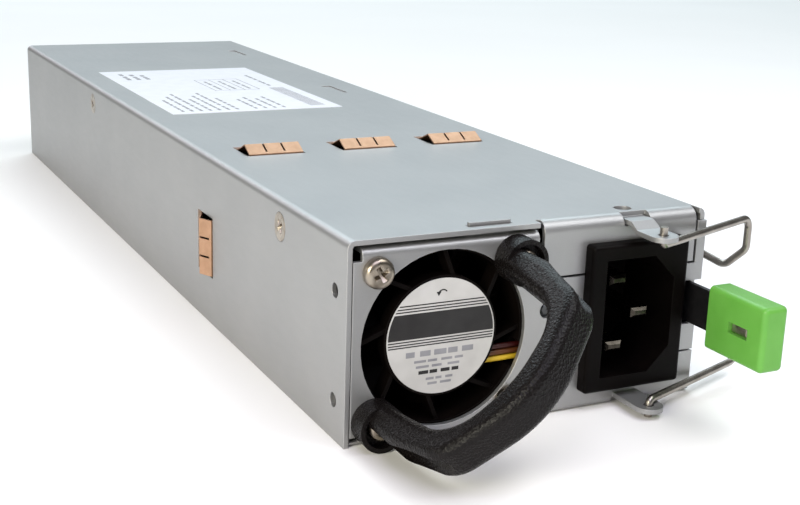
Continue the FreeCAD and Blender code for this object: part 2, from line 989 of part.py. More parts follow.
def make_chassis():
    body = new_body("chassis")
    front_plane = d.case_length / 2
    floor = rectangle(-tray_half, tray_half, front, rear)
    grow(body, "XY_Plane", 0.0, [floor], d.skin)
    panel = [
        (-tray_half, 0.0),
        (half, 0.0),
        (half, d.latch_level),
        (half + d.strip_proud, d.latch_level),
        (half + d.strip_proud, strip_top),
        (strip_left, strip_top),
        (strip_left, flange_bottom - d.flange_seam),
        (panel_step, flange_bottom - d.flange_seam),
        (panel_step, panel_top),
        (-tray_half, panel_top),
    ]
    grow(body, "XZ_Plane", front_plane, [panel], d.skin, towards=-1)
    lip = rectangle(d.corner_notch_width - tray_half, panel_step, front, front + d.panel_lip)
    grow(body, "XY_Plane", panel_top, [lip], d.skin, towards=-1)
    hook = rectangle(hook_left, hook_left + d.hook_width, hook_fore, hook_fore + d.hook_thickness)
    grow(body, "XY_Plane", panel_top, [hook], high + d.hook_proud - panel_top)

    def front_fold(edge):
        middle = edge.BoundBox.Center
        folded = near(middle.z, 0.0) or near(middle.z, panel_top)
        return runs_along(edge, X_AXIS) and near(middle.y, front) and folded

    round_edges(body, d.bend, front_fold)

    # Low side walls, with a tall tab behind each cover screw
    for side in (-1, 1):
        inside = wall_half * side
        towards = side
        rows = left_screws if side < 0 else right_screws
        wall = rectangle(front + d.tray_wall_inset, rear - d.tray_wall_inset, 0.0, d.tray_wall_height)
        grow(body, "YZ_Plane", inside, [wall], d.skin, towards)
        tabs = [
            rectangle(y - d.screw_tab_width / 2, y + d.screw_tab_width / 2, d.tray_wall_height, panel_top)
            for y in rows
        ]
        grow(body, "YZ_Plane", inside, tabs, d.skin, towards)
        threads = [(y, screw_height, d.thread_radius + d.thread_clearance) for y in rows]
        carve(body, "YZ_Plane", inside, threads, d.skin, towards)

    # Openings in the front panel
    fan_holes = [(fan_x, fan_z, fan_opening)]
    for right in (-1, 1):
        for up in (-1, 1):
            fan_holes.append((fan_x + right * screw_offset, fan_z + up * screw_offset, d.free_hole_radius))
    carve(body, "XZ_Plane", front_plane, fan_holes, d.skin)
    openings = [
        (fan_right + d.led_offset, d.led_height, d.led_hole_radius),
        rectangle(inlet_x - body_half_width, inlet_x + body_half_width,
                  inlet_z - body_half_height, high),
    ]
    carve(body, "XZ_Plane", front_plane, openings, d.skin)
    bezel_right = inlet_x + d.bezel_width / 2
    latch_slot = rectangle(
        bezel_right,
        half + d.skin,
        latch_low - d.latch_slot_margin,
        latch_top + d.latch_slot_margin,
    )
    strip_seam = rectangle(
        bezel_right,
        half + d.skin,
        d.strip_seam_height,
        d.strip_seam_height + d.strip_seam_width,
    )
    carve(body, "XZ_Plane", front_plane, [latch_slot, strip_seam], d.skin)

    # Relief notches at the fan side's corners
    notch_right = d.corner_notch_width - tray_half
    notches = [
        rectangle(-half, notch_right, panel_top - d.corner_notch_height, high),
        rectangle(-half, notch_right, d.skin, d.skin + d.foot_notch_height),
    ]
    carve(body, "XZ_Plane", front_plane, notches, d.skin)

    # Lower ear of the bale, over a notch in the bottom fold
    ear_notch = rectangle(
        ear_left - d.ear_notch_margin,
        ear_right + d.ear_notch_margin,
        -d.skin,
        lower_ear,
    )
    carve(body, "XZ_Plane", front_plane, [ear_notch], d.bend)
    ear(body, lower_ear, front + d.skin)
    return keep(body, "chassis")


# Rear panel


def make_rear_panel():
    body = new_body("rear_panel")
    plane = -rear
    panel = rectangle(-tray_half, tray_half, d.skin, panel_top)
    grow(body, "XZ_Plane", plane, [panel], d.skin)
    foot = rectangle(-tray_half + d.tray_wall_inset, tray_half - d.tray_wall_inset,
                     rear - d.panel_lip, rear)
    grow(body, "XY_Plane", d.skin, [foot], d.skin)
    connector = rectangle(
        -(d.connector_width / 2) - d.seam,
        d.connector_width / 2 + d.seam,
        board_low - d.seam,
        board_top + d.connector_height + d.seam,
    )
    carve(body, "XZ_Plane", plane, [connector], d.skin, towards=1)

    # Hexagonal air holes in staggered rows above the connector
    document.recompute()
    pitch = worth(2 * d.vent_radius + d.vent_web)
    rise = pitch * math.sqrt(3) / 2
    floor_level = worth(board_top + d.connector_height + d.seam + d.vent_web)
    room = worth(panel_top - d.vent_web) - floor_level
    rows = int((room - 2 * worth(d.vent_radius)) / rise) + 1
    first_level = floor_level + (room - (rows - 1) * rise) / 2
    reach = worth(tray_half - d.vent_web - d.vent_radius)
    holes = []
    for row in range(rows):
        shift = pitch / 2 if row % 2 else 0.0
        count = int((2 * (reach - shift)) / pitch) + 1
        start = -(count - 1) * pitch / 2
        for column in range(count):
            holes.append(hexagon(start + column * pitch, first_level + row * rise))
    cutter = document.addObject("Part::Feature", "air_holes")
    cutter.Shape = Part.makeCompound(holes)
    return keep(cut_away("rear_panel_vented", body, [cutter]), "rear_panel")


def hexagon(x, z):
    """Six-sided prism through the rear panel, point upwards."""
    radius = worth(d.vent_radius)
    fore = worth(rear - d.skin)
    corners = []
    for step in range(7):
        angle = math.radians(90 + 60 * step)
        corners.append(Vector(x + radius * math.cos(angle), fore, z + radius * math.sin(angle)))
    return Part.Face(Part.makePolygon(corners)).extrude(Vector(0, worth(d.skin), 0))


# Cover screws and other turned fasteners


def turned(label, points):
    """Master of a turned piece: radius and height pairs, about its own Y axis."""
    body = new_body(label)
    revolve(body, points, "Y_Axis")
    return body


def make_cover_screws():
    head = d.flat_head_radius
    profile = [
        (0.0, 0.0),
        (head, 0.0),
        (head - d.skin + d.thread_clearance, d.skin - d.thread_clearance),
        (d.thread_radius, d.skin - d.thread_clearance),
        (d.thread_radius, d.cover_screw_length),
        (0.0, d.cover_screw_length),
    ]
    master = turned("flat_head_screw", profile)
    left = copies(master, [(-half, y, screw_height) for y in left_screws], Rotation(Z_AXIS, -90))
    right = copies(master, [(half, y, screw_height) for y in right_screws], Rotation(Z_AXIS, 90))
    group("cover_screws", left + right)


def pan_screw(label, head_radius, length):
    """Pan-head screw with its seat at the origin and its thread along +Y."""
    crown = head_radius * PAN_CROWN
    shoulder = d.pan_head_height * PAN_WALL
    profile = [
        (0.0, -d.pan_head_height),
        (crown, -d.pan_head_height),
        (head_radius * PAN_ROUND_OUT, -(d.pan_head_height * PAN_ROUND_UP)),
        (head_radius, -shoulder),
        (head_radius, 0.0),
        (d.thread_radius, 0.0),
        (d.thread_radius, length),
        (0.0, length),
    ]
    return turned(label, profile)


def make_fan_screws():
    plain = pan_screw("pan_screw", d.pan_head_radius, d.fan_screw_length)
    corners = [
        (fan_x - screw_offset, front, fan_z + screw_offset),
        (fan_x + screw_offset, front, fan_z - screw_offset),
    ]
    group("fan_screws", copies(plain, corners))
    long_screw = pan_screw("handle_screw", d.handle_head_radius, d.fan_screw_length + d.foot_thickness)
    seat = front - d.foot_thickness
    feet = [
        (fan_x - screw_offset, seat, fan_z - screw_offset),
        (fan_x + screw_offset, seat, fan_z + screw_offset),
    ]
    group("handle_screws", copies(long_screw, feet))


# Fan, drawn about its own axis with its front face at zero


def on_fan(item, label):
    place(item, fan_x, panel_inside, fan_z)
    return keep(item, label)


def make_fan_frame():
    body = new_body("fan_frame")
    side = d.fan_size / 2
    square = rectangle(-side, side, -side, side)
    grow(body, "XZ_Plane", 0.0, [square], d.fan_flange, towards=-1)
    grow(body, "XZ_Plane", 0.0, [(0.0, 0.0, side)], d.fan_depth, towards=-1)
    grow(body, "XZ_Plane", d.fan_flange - d.fan_depth, [square], d.fan_flange, towards=-1)

    def corner(edge):
        middle = edge.BoundBox.Center
        return runs_along(edge, Y_AXIS) and near(abs(middle.x), side) and near(abs(middle.z), side)

    round_edges(body, d.fan_corner, corner)
    bores = [(0.0, 0.0, fan_bore)]
    for right in (-1, 1):
        for up in (-1, 1):
            bores.append((right * screw_offset, up * screw_offset, d.thread_radius + d.thread_clearance))
    carve(body, "XZ_Plane", 0.0, bores, d.fan_depth)
    lead_notch = rectangle(
        fan_bore - 2 * d.fan_wall,
        side + d.fan_wall,
        -(d.fan_lead_drop + 3 * d.fan_lead_step),
        -(d.fan_lead_drop - d.fan_lead_step),
    )
    carve(body, "XZ_Plane", 0.0, [lead_notch], d.fan_lead_depth + 2 * d.fan_lead_radius)

    # Guide vanes sweep back from the bore to the hub
    sweep = math.radians(worth(d.vane_sweep))
    outer = fan_bore + d.fan_wall / 2
    inner = d.hub_radius - d.fan_wall
    half_vane = d.vane_thickness / 2
    turn_in = (inner * math.cos(sweep), -inner * math.sin(sweep))
    vane = [
        (outer, -half_vane),
        (outer, half_vane),
        (turn_in[0], turn_in[1] + half_vane),
        (turn_in[0], turn_in[1] - half_vane),
    ]
    feature = grow(body, "XZ_Plane", -d.vane_start, [vane], d.vane_depth, towards=-1)
    ring_of(body, feature, VANE_COUNT)
    hub_back = d.hub_recess + d.hub_thickness
    grow(body, "XZ_Plane", -d.hub_recess, [(0.0, 0.0, d.hub_radius)], d.hub_thickness, towards=-1)
    grow(body, "XZ_Plane", -hub_back, [(0.0, 0.0, d.tube_radius)], d.tube_end - hub_back, towards=-1)
    bearing_seat = d.bearing_radius + d.thread_clearance
    carve(body, "XZ_Plane", -d.tube_end, [(0.0, 0.0, bearing_seat)], d.tube_end - hub_back, towards=1)
    on_fan(body, "fan_frame")


def blade_section(body, offset, lean):
    """Thin cambered section of a blade, drawn as two arcs between its edges."""
    sketch = sketch_on(body, "YZ_Plane", offset)
    nose = Vector(worth(d.blade_start), worth(lean), 0)
    tail = Vector(worth(d.blade_end), -worth(lean), 0)
    middle = (nose + tail) / 2
    across = Vector(tail.y - nose.y, nose.x - tail.x, 0).normalize()
    camber = worth(d.blade_camber)
    back = camber + worth(d.blade_thickness)
    upper = sketch.addGeometry(Part.Arc(nose, middle + across * back, tail), False)
    lower = sketch.addGeometry(Part.Arc(nose, middle + across * camber, tail), False)
    for geometry in (upper, lower):
        sketch.addConstraint(Sketcher.Constraint("Block", geometry))
    return sketch


def make_fan_rotor():
    body = new_body("fan_rotor")
    cup = d.rotor_radius - d.rotor_wall
    end_wall = d.rotor_end - d.rotor_wall
    press = d.shaft_radius
    profile = [
        (press, end_wall - d.rotor_boss / 2),
        (d.rotor_boss, end_wall - d.rotor_boss / 2),
        (d.rotor_boss, end_wall),
        (cup, end_wall),
        (cup, d.rotor_start),
        (d.rotor_radius, d.rotor_start),
        (d.rotor_radius, d.rotor_end),
        (press, d.rotor_end),
    ]
    revolve(body, profile, "Y_Axis")
    tip = fan_bore - d.tip_gap
    root_section = blade_section(body, d.rotor_radius - d.rotor_wall / 2, d.blade_root_lean)
    tip_section = blade_section(body, tip + d.fan_wall, d.blade_tip_lean)
    blade = body.newObject("PartDesign::AdditiveLoft", "fan_rotor_blade")
    blade.Profile = root_section
    blade.Sections = [tip_section]
    document.recompute()
    ring_of(body, blade, BLADE_COUNT)
    trim = [(0.0, 0.0, tip), (0.0, 0.0, d.fan_size)]
    carve(body, "XZ_Plane", 0.0, trim, d.fan_depth)
    on_fan(body, "fan_rotor")


def sleeve(label, outer, inner, start, length):
    """Ring about the fan's axis."""
    body = new_body(label)
    grow(body, "XZ_Plane", -start, [(0.0, 0.0, outer), (0.0, 0.0, inner)], length, towards=-1)
    return body


def make_fan_inside():
    cup = d.rotor_radius - d.rotor_wall
    magnet_outer = cup - d.magnet_gap
    magnet_inner = magnet_outer - d.magnet_thickness
    on_fan(sleeve("fan_magnet", magnet_outer, magnet_inner, d.stator_start, d.stator_length), "fan_magnet")
    hub_back = d.hub_recess + d.hub_thickness
    shaft = document.addObject("Part::Cylinder", "fan_shaft")
    shaft_start = hub_back + d.shaft_play
    bind(shaft, "Radius", d.shaft_radius)
    bind(shaft, "Height", d.rotor_end - shaft_start)
    place(shaft, fan_x, panel_inside + shaft_start, fan_z, Rotation(X_AXIS, -90))
    keep(shaft, "fan_shaft")
    bore = d.shaft_radius + d.shaft_play
    bearing = sleeve("bearing", d.bearing_radius, bore, 0.0, d.bearing_width)
    rows = [hub_back, d.tube_end - d.bearing_width]
    group("fan_bearings", copies(bearing, [(fan_x, panel_inside + y, fan_z) for y in rows]))

    # Stator: a collar on the bearing tube with poles that carry curved shoes
    stator = new_body("fan_stator")
    collar = d.tube_radius + d.magnet_gap
    shoe = magnet_inner - d.air_gap
    grow(stator, "XZ_Plane", -d.stator_start, [(0.0, 0.0, collar + d.rotor_wall), (0.0, 0.0, collar)],
         d.stator_length, towards=-1)
    arm_half = d.rotor_wall
    shoe_half = shoe * POLE_HALF
    tee = [
        (collar + d.rotor_wall / 2, -arm_half),
        (shoe * POLE_NECK, -arm_half),
        (shoe * POLE_NECK, -shoe_half),
        (shoe * POLE_RIM, -shoe_half),
        (shoe * POLE_TIP, 0.0),
        (shoe * POLE_RIM, shoe_half),
        (shoe * POLE_NECK, shoe_half),
        (shoe * POLE_NECK, arm_half),
        (collar + d.rotor_wall / 2, arm_half),
    ]
    pole = grow(stator, "XZ_Plane", -d.stator_start, [tee], d.stator_length, towards=-1)
    ring_of(stator, pole, POLES)
    on_fan(stator, "fan_stator")
    keep(drum("fan_label", d.label_radius, d.label_thickness, fan_x, panel_inside + d.hub_recess,
              fan_z, Rotation(X_AXIS, 90)), "fan_label")


def make_fan_leads():
    """Three leads from the hub through the frame's notch and back to the fan connector."""
    run_x = worth(fan_right + d.fan_lead_reach)
    depth = worth(panel_inside + d.fan_lead_depth)
    connector_face = worth(panel_inside + d.fan_connector_setback)
    for step, colour in enumerate(("red", "brown", "yellow")):
        drop = worth(d.fan_lead_drop + step * d.fan_lead_step)
        level = worth(fan_z) - drop
        upper_side = drop - worth(d.fan_lead_radius)
        start_x = worth(fan_x) + math.sqrt(worth(d.hub_radius) ** 2 - upper_side ** 2)
        points = [
            Vector(start_x, depth, level),
            Vector(run_x, depth, level),
            Vector(run_x, connector_face, level),
        ]
        tube(f"fan_lead_{colour}", points, widest_bends(points), worth(d.fan_lead_radius))
    body_half = d.fan_lead_step * 2
    keep(block("fan_connector", fan_right + d.fan_lead_reach - body_half,
               fan_right + d.fan_lead_reach + body_half,
               panel_inside + d.fan_connector_setback,
               panel_inside + d.fan_connector_setback + 2 * body_half,
               board_top, fan_z - d.fan_lead_drop + d.fan_lead_step), "fan_connector")


# Pull handle, drawn in its own slanting plane: X across the feet, -Y forwards


def make_handle():
    body = new_body("handle")
    arm_outer = screw_diagonal() + d.arm_outside
    arm_inner = screw_diagonal() - d.arm_inside
    outer_corner = (arm_outer - d.outer_corner_inset, d.handle_reach - d.outer_corner_drop)
    grip_inner = d.handle_reach - d.grip_depth
    inner_corner = (arm_inner - d.inner_corner_inset, grip_inner - d.inner_corner_drop)
    right_side = [
        (arm_inner, 0.0),
        (arm_outer, 0.0),
        (arm_outer, d.arm_knee),
        outer_corner,
        (0.0, d.handle_reach),
    ]
    left_side = [(-x, y) for x, y in reversed(right_side[:-1])]
    inside = [(-inner_corner[0], inner_corner[1]), (0.0, grip_inner), inner_corner]
    side = [(x, -y) for x, y in right_side + left_side + inside]
    grow(body, "XY_Plane", -(d.handle_width / 2), [side], d.handle_width)

    def across(reach, offset):
        def test(edge):
            middle = edge.BoundBox.Center
            there = near(middle.y, -reach) and near(abs(middle.x), offset)
            return runs_along(edge, Z_AXIS) and there
        return test

    round_edges(body, d.knee_round, across(d.arm_knee, arm_outer))
    round_edges(body, d.corner_outer_round, across(outer_corner[1], outer_corner[0]))
    round_edges(body, d.corner_inner_round, across(inner_corner[1], inner_corner[0]))
    outer_limit = OUTER_ARC_SHARE * outer_corner[0] * outer_corner[0] / d.outer_corner_drop
    inner_limit = INNER_ARC_SHARE * inner_corner[0] * inner_corner[0] / d.inner_corner_drop
    round_edges(body, smallest(d.apex_outer_round, outer_limit), across(d.handle_reach, 0.0))
    round_edges(body, smallest(d.apex_inner_round, inner_limit), across(grip_inner, 0.0))

    def grip_edge(edge):
        middle = edge.BoundBox.Center
        flat = near(edge.BoundBox.ZMin, edge.BoundBox.ZMax)
        return flat and not near(middle.y, 0.0)

    round_edges(body, d.handle_round, grip_edge)

    # Each foot has a low cup round its screw, and the arm is grooved to let a driver in
    feet = [(end * screw_diagonal(), 0.0, d.foot_radius) for end in (-1, 1)]
    grow(body, "XZ_Plane", 0.0, feet, d.foot_thickness)
    cups = []
    for end in (-1, 1):
        cups.append((end * screw_diagonal(), 0.0, d.foot_radius))
        cups.append((end * screw_diagonal(), 0.0, d.cup_bore))
    grow(body, "XZ_Plane", d.foot_thickness, cups, d.cup_height - d.foot_thickness)
    bores = [(end * screw_diagonal(), 0.0, d.foot_bore) for end in (-1, 1)]
    carve(body, "XZ_Plane", d.handle_reach, bores, d.handle_reach - d.foot_thickness)
    holes = [(end * screw_diagonal(), 0.0, d.free_hole_radius) for end in (-1, 1)]
    carve(body, "XZ_Plane", d.foot_thickness, holes, d.foot_thickness)
    place(body, fan_x, front, fan_z, Rotation(Y_AXIS, -45))
    keep(body, "handle")


def screw_diagonal():
    """Distance of a corner screw from the fan's axis."""
    return screw_offset * math.sqrt(2)


# Mains inlet


def make_inlet():
    body = new_body("inlet_housing")
    front_plane = d.case_length / 2
    bezel = rectangle(
        inlet_x - d.bezel_width / 2,
        inlet_x + d.bezel_width / 2,
        inlet_z - d.bezel_height / 2,
        inlet_z + d.bezel_height / 2,
    )
    grow(body, "XZ_Plane", front_plane, [bezel], d.bezel_proud)

    def bezel_edge(edge):
        middle = edge.BoundBox.Center
        proud = near(middle.y, front - d.bezel_proud)
        upright = runs_along(edge, Y_AXIS)
        return proud or upright

    round_edges(body, d.bezel_round, bezel_edge)
    barrel = rectangle(
        inlet_x - inlet_body_width / 2,
        inlet_x + inlet_body_width / 2,
        inlet_z - inlet_body_height / 2,
        inlet_z + inlet_body_height / 2,
    )
    grow(body, "XZ_Plane", front_plane, [barrel], d.inlet_body_depth, towards=-1)
    cavity_half_width = inlet_body_width / 2 - d.inlet_side_wall
    cavity_half_height = inlet_body_height / 2 - d.inlet_end_wall
    left = inlet_x - cavity_half_width
    right = inlet_x + cavity_half_width
    low = inlet_z - cavity_half_height
    top = inlet_z + cavity_half_height
    cavity = [
        (left, low),
        (right - d.cavity_chamfer, low),
        (right, low + d.cavity_chamfer),
        (right, top - d.cavity_chamfer),
        (right - d.cavity_chamfer, top),
        (left, top),
    ]
    carve(body, "XZ_Plane", front_plane + d.bezel_proud, [cavity], d.cavity_depth)
    slots = []
    pins = {
        "inlet_line_pin": (-d.pin_inset, d.pin_spacing / 2, 0.0),
        "inlet_neutral_pin": (-d.pin_inset, -(d.pin_spacing / 2), 0.0),
        "inlet_earth_pin": (d.earth_inset, 0.0, d.earth_extra),
    }
    room = d.slot_clearance
    for label, (across, up, extra) in pins.items():
        x = inlet_x + across
        z = inlet_z + up
        wide = d.pin_width / 2
        thick = d.pin_thickness / 2
        slots.append(rectangle(x - wide - room, x + wide + room, z - thick - room, z + thick + room))
        make_pin(label, x, z, extra)
    carve(body, "XZ_Plane", front_plane, slots, d.inlet_body_depth)
    keep(body, "inlet_housing")


def make_pin(label, x, z, extra):
    """Flat blade with a bevelled nose, and a tail behind the housing."""
    body = new_body(label)
    wide = d.pin_width / 2
    thick = d.pin_thickness / 2
    section = rectangle(x - wide, x + wide, z - thick, z + thick)
    length = d.inlet_body_depth + d.pin_tail + extra
    grow(body, "XZ_Plane", d.case_length / 2 + extra, [section], length, towards=-1)

    def nose(edge):
        return near(edge.BoundBox.Center.y, front - extra) and near(edge.BoundBox.YMin, edge.BoundBox.YMax)

    bevel_edges(body, d.pin_point, nose)
    keep(body, label)
    return body


def make_inlet_leads():
    """Leads from the blades' tails to the board, each to its own row of holes."""
    tail = worth(front + d.inlet_body_depth + d.pin_tail)
    landing = worth(board_top)
    rows = {
        "line_lead": (inlet_x - d.pin_inset, inlet_z + d.pin_spacing / 2, 2),
        "neutral_lead": (inlet_x - d.pin_inset, inlet_z - d.pin_spacing / 2, 0),
        "earth_lead": (inlet_x + d.earth_inset, inlet_z, 1),
    }
    for label, (x, z, order) in rows.items():
        reach = tail + worth(d.lead_reach) + order * worth(d.lead_stagger)
        points = [
            Vector(worth(x), tail, worth(z)),
            Vector(worth(x), reach, worth(z)),
            Vector(worth(x), reach, landing),
        ]
        tube(label, points, widest_bends(points), worth(d.lead_radius))


# Wire bale


def make_bale():
    angle = math.radians(worth(d.bale_open_angle))
    out = Vector(math.cos(angle), math.sin(angle), 0)
    across = Vector(-math.sin(angle), math.cos(angle), 0)
    pivot = Vector(worth(eye_x), worth(eye_y), 0)
    tip = pivot + out * worth(d.bale_length)
    leg_gap = d.wire_bend + d.wire_ear_gap
    upper_leg = worth(upper_ear - leg_gap)
    lower_leg = worth(lower_ear + d.skin + leg_gap)
    centre = (upper_leg + lower_leg) / 2

    def at(base, sideways, level):
        spot = base + across * sideways
        return Vector(spot.x, spot.y, level)

    # The closing part narrows to a neck and opens again into a loop for the cord
    loop = [
        (0.0, worth(d.knee_half)),
        (worth(d.neck_set), worth(d.neck_half)),
        (worth(d.loop_width), worth(d.loop_half)),
    ]
    points = [
        at(pivot, 0.0, worth(upper_ear + d.skin + d.upper_stub)),
        at(pivot, 0.0, upper_leg),
        at(tip, 0.0, upper_leg),
    ]
    points += [at(tip, sideways, centre + rise) for sideways, rise in loop]
    points += [at(tip, sideways, centre - rise) for sideways, rise in reversed(loop)]
    points += [
        at(tip, 0.0, lower_leg),
        at(pivot, 0.0, lower_leg),
        at(pivot, 0.0, worth(lower_ear - d.lower_stub)),
    ]
    corner = worth(d.bale_corner)
    eye_bend = worth(d.wire_bend)
    radii = [eye_bend] + [corner] * 8 + [eye_bend]
    tube("bale", points, radii, worth(d.wire_radius))


# Latch


def make_latch():
    arm = new_body("latch_arm")
    arm_front = front - d.arm_reach
    strip = [
        (latch_inner, latch_axis_y),
        (latch_inner, arm_front),
        (latch_outer, arm_front),
        (latch_outer, catch_front),
        (half + d.catch_proud, catch_front),
        (half + d.catch_proud, catch_front + d.catch_flat),
        (latch_outer, catch_rear),
        (latch_outer, latch_axis_y),
    ]
    grow(arm, "XY_Plane", latch_low, [strip], d.latch_height)
    tongue = rectangle(latch_inner, latch_outer, arm_front - d.tongue_length, arm_front)
    tongue_low = d.latch_level - d.tongue_height / 2
    grow(arm, "XY_Plane", tongue_low, [tongue], d.tongue_height)

    # Lance that snaps into the tab's window, ramped on the side that the tab comes from
    tab_inner = latch_outer + d.tab_outset - d.tab_thickness
    lance_rear = arm_front - d.window_setback - d.lance_room
    lance_front = lance_rear - d.window_length + 2 * d.lance_room
    lance = [
        (latch_inner, lance_rear),
        (tab_inner + d.lance_set, lance_rear),
        (tab_inner + d.lance_set, lance_front + d.lance_ramp),
        (latch_inner, lance_front),
    ]
    lance_height = d.window_height - 2 * d.lance_room
    grow(arm, "XY_Plane", d.latch_level - lance_height / 2, [lance], lance_height)
    keep(arm, "latch_arm")

    root = new_body("latch_root")
    root_fore = latch_axis_y + d.latch_root_gap
    plate = rectangle(latch_inner, half - d.skin, root_fore, root_fore + d.latch_root_length)
    grow(root, "XY_Plane", latch_low, [plate], d.latch_height)
    holes = [(y, d.latch_level, d.rivet_radius + d.thread_clearance) for y in rivet_rows()]
    carve(root, "YZ_Plane", half - d.skin, holes, d.latch_thickness + d.latch_gap)
    keep(root, "latch_root")

    grip = half - latch_inner
    rivet = turned("rivet", [
        (0.0, 0.0),
        (d.rivet_radius, 0.0),
        (d.rivet_radius, grip),
        (d.rivet_head_radius, grip),
        (d.rivet_head_radius * RIVET_TOP, grip + d.rivet_head_height),
        (0.0, grip + d.rivet_head_height),
    ])
    seats = [(half, y, d.latch_level) for y in rivet_rows()]
    group("latch_rivets", copies(rivet, seats, Rotation(Z_AXIS, 90)))

    # Finger tab, pushed over the arm's tongue
    tab = new_body("latch_tab")
    tab_rear = arm_front
    face = rectangle(
        tab_rear - d.tab_length,
        tab_rear,
        d.latch_level - d.tab_height / 2,
        d.latch_level + d.tab_height / 2,
    )
    grow(tab, "YZ_Plane", tab_inner, [face], d.tab_thickness)
    round_edges(tab, d.tab_round, lambda edge: not near(edge.BoundBox.Center.y, tab_rear))
    pocket_mouth = rectangle(
        latch_inner - d.tab_fit,
        latch_outer + d.tab_fit,
        tongue_low - d.tab_fit,
        tongue_low + d.tongue_height + d.tab_fit,
    )
    carve(tab, "XZ_Plane", -tab_rear, [pocket_mouth], d.tongue_length + d.tab_fit, towards=1)
    window = rectangle(
        tab_rear - d.window_setback - d.window_length,
        tab_rear - d.window_setback,
        d.latch_level - d.window_height / 2,
        d.latch_level + d.window_height / 2,
    )
    carve(tab, "YZ_Plane", tab_inner, [window], latch_inner - tab_inner, towards=1)
    keep(tab, "latch_tab")


# Spring-finger strips, drawn about the middle of the slot: X across, Y along, zero at the sheet's outside


def make_finger_strip(label, x, z, rotation):
    body = new_body(label)
    reach = d.finger_slot_length / 2
    foil = d.finger_foil
    under = -d.skin
    wide = d.finger_strip_width / 2
    peak = reach * FINGER_PEAK
    upper = [
        (d.finger_hook + reach, under),
        (reach - foil, under),
        (-peak, d.finger_rise),
        (foil - reach, foil),
        (foil - reach, under),
        (-(reach + d.finger_hook), under),
    ]
    lower = [
        (-(reach + d.finger_hook), under - foil),
        (2 * foil - reach, under - foil),
        (2 * foil - reach, 0.0),
        (-peak, d.finger_rise - foil),
        (reach - foil, under - foil),
        (d.finger_hook + reach, under - foil),
    ]
    grow(body, "YZ_Plane", -wide, [upper + lower], d.finger_strip_width)
    pitch = d.finger_strip_width / FINGERS
    slits = []
    for number in range(1, FINGERS):
        middle = number * pitch - wide
        slits.append(rectangle(middle - d.finger_slit / 2, middle + d.finger_slit / 2,
                               3 * foil - reach, reach - 3 * foil))
    carve(body, "XY_Plane", d.finger_rise, slits, d.finger_rise + d.skin + foil)
    place(body, x, finger_y, z, rotation)
    return keep(body, label)


def make_finger_strips():
    for step, where in ((-1, "left"), (0, "middle"), (1, "right")):
        make_finger_strip(f"top_fingers_{where}", step * d.finger_spacing, high, Rotation())
    make_finger_strip("side_fingers_left", -half, d.side_finger_height, Rotation(Y_AXIS, -90))
    make_finger_strip("side_fingers_right", half, d.side_finger_height, Rotation(Y_AXIS, 90))


# Label on the top and status light


def make_label_and_light():
    plate_left = d.plate_inset - half
    keep(block("spec_label", plate_left, plate_left + d.plate_width, front + d.plate_setback,
               front + d.plate_setback + d.plate_length, high, high + d.label_thickness), "spec_label")
    nose = d.led_radius * LED_NOSE
    light = turned("status_led", [
        (0.0, -(d.skin * LED_NOSE)),
        (nose, -(d.skin * LED_SHOULDER)),
        (d.led_radius, 0.0),
        (d.led_flange_radius, 0.0),
        (d.led_flange_radius, d.led_flange),
        (d.led_radius, d.led_flange),
        (d.led_radius, d.led_length),
        (0.0, d.led_length),
    ])
    place(light, fan_right + d.led_offset, panel_inside, d.led_height)
    keep(light, "status_led")


# Output connector at the rear edge of the board


def make_output():
    body = new_body("output_connector")
    back = rear + d.connector_proud
    wide = d.connector_width / 2
    middle = board_top + d.connector_height / 2
    section = rectangle(-wide, wide, board_top, board_top + d.connector_height)
    grow(body, "XZ_Plane", -back, [section], d.connector_depth)
    bevel_edges(body, d.bezel_round, lambda edge: near(edge.BoundBox.Center.y, back))
    first_blade = (1 - POWER_BLADES) / 2
    slot_x = [(first_blade + step) * d.blade_spacing - wide * POWER_SHIFT for step in range(POWER_BLADES)]
    slots = [
        rectangle(x - d.blade_slot_width / 2, x + d.blade_slot_width / 2,
                  middle - d.blade_slot_height / 2, middle + d.blade_slot_height / 2)
        for x in slot_x
    ]
    carve(body, "XZ_Plane", -back, slots, d.blade_slot_depth, towards=1)
    signal = d.signal_hole / 2
    holes = []
    for column in range(SIGNAL_COLUMNS):
        for level in range(SIGNAL_ROWS):
            x = wide * SIGNAL_SHIFT + (column - (SIGNAL_COLUMNS - 1) / 2) * d.signal_spacing
            z = middle + (level - (SIGNAL_ROWS - 1) / 2) * d.signal_spacing
            holes.append(rectangle(x - signal, x + signal, z - signal, z + signal))
    carve(body, "XZ_Plane", -back, holes, d.signal_depth, towards=1)
    keep(body, "output_connector")
    contacts = []
    floor_y = worth(back - d.blade_slot_depth)
    for x in slot_x:
        contacts.append(Part.makeBox(
            worth(d.contact_thickness), worth(d.contact_length), worth(d.contact_height),
            Vector(worth(x - d.contact_thickness / 2), floor_y, worth(middle - d.contact_height / 2)),
        ))
    group("output_contacts", contacts)


# Board, film and standoffs


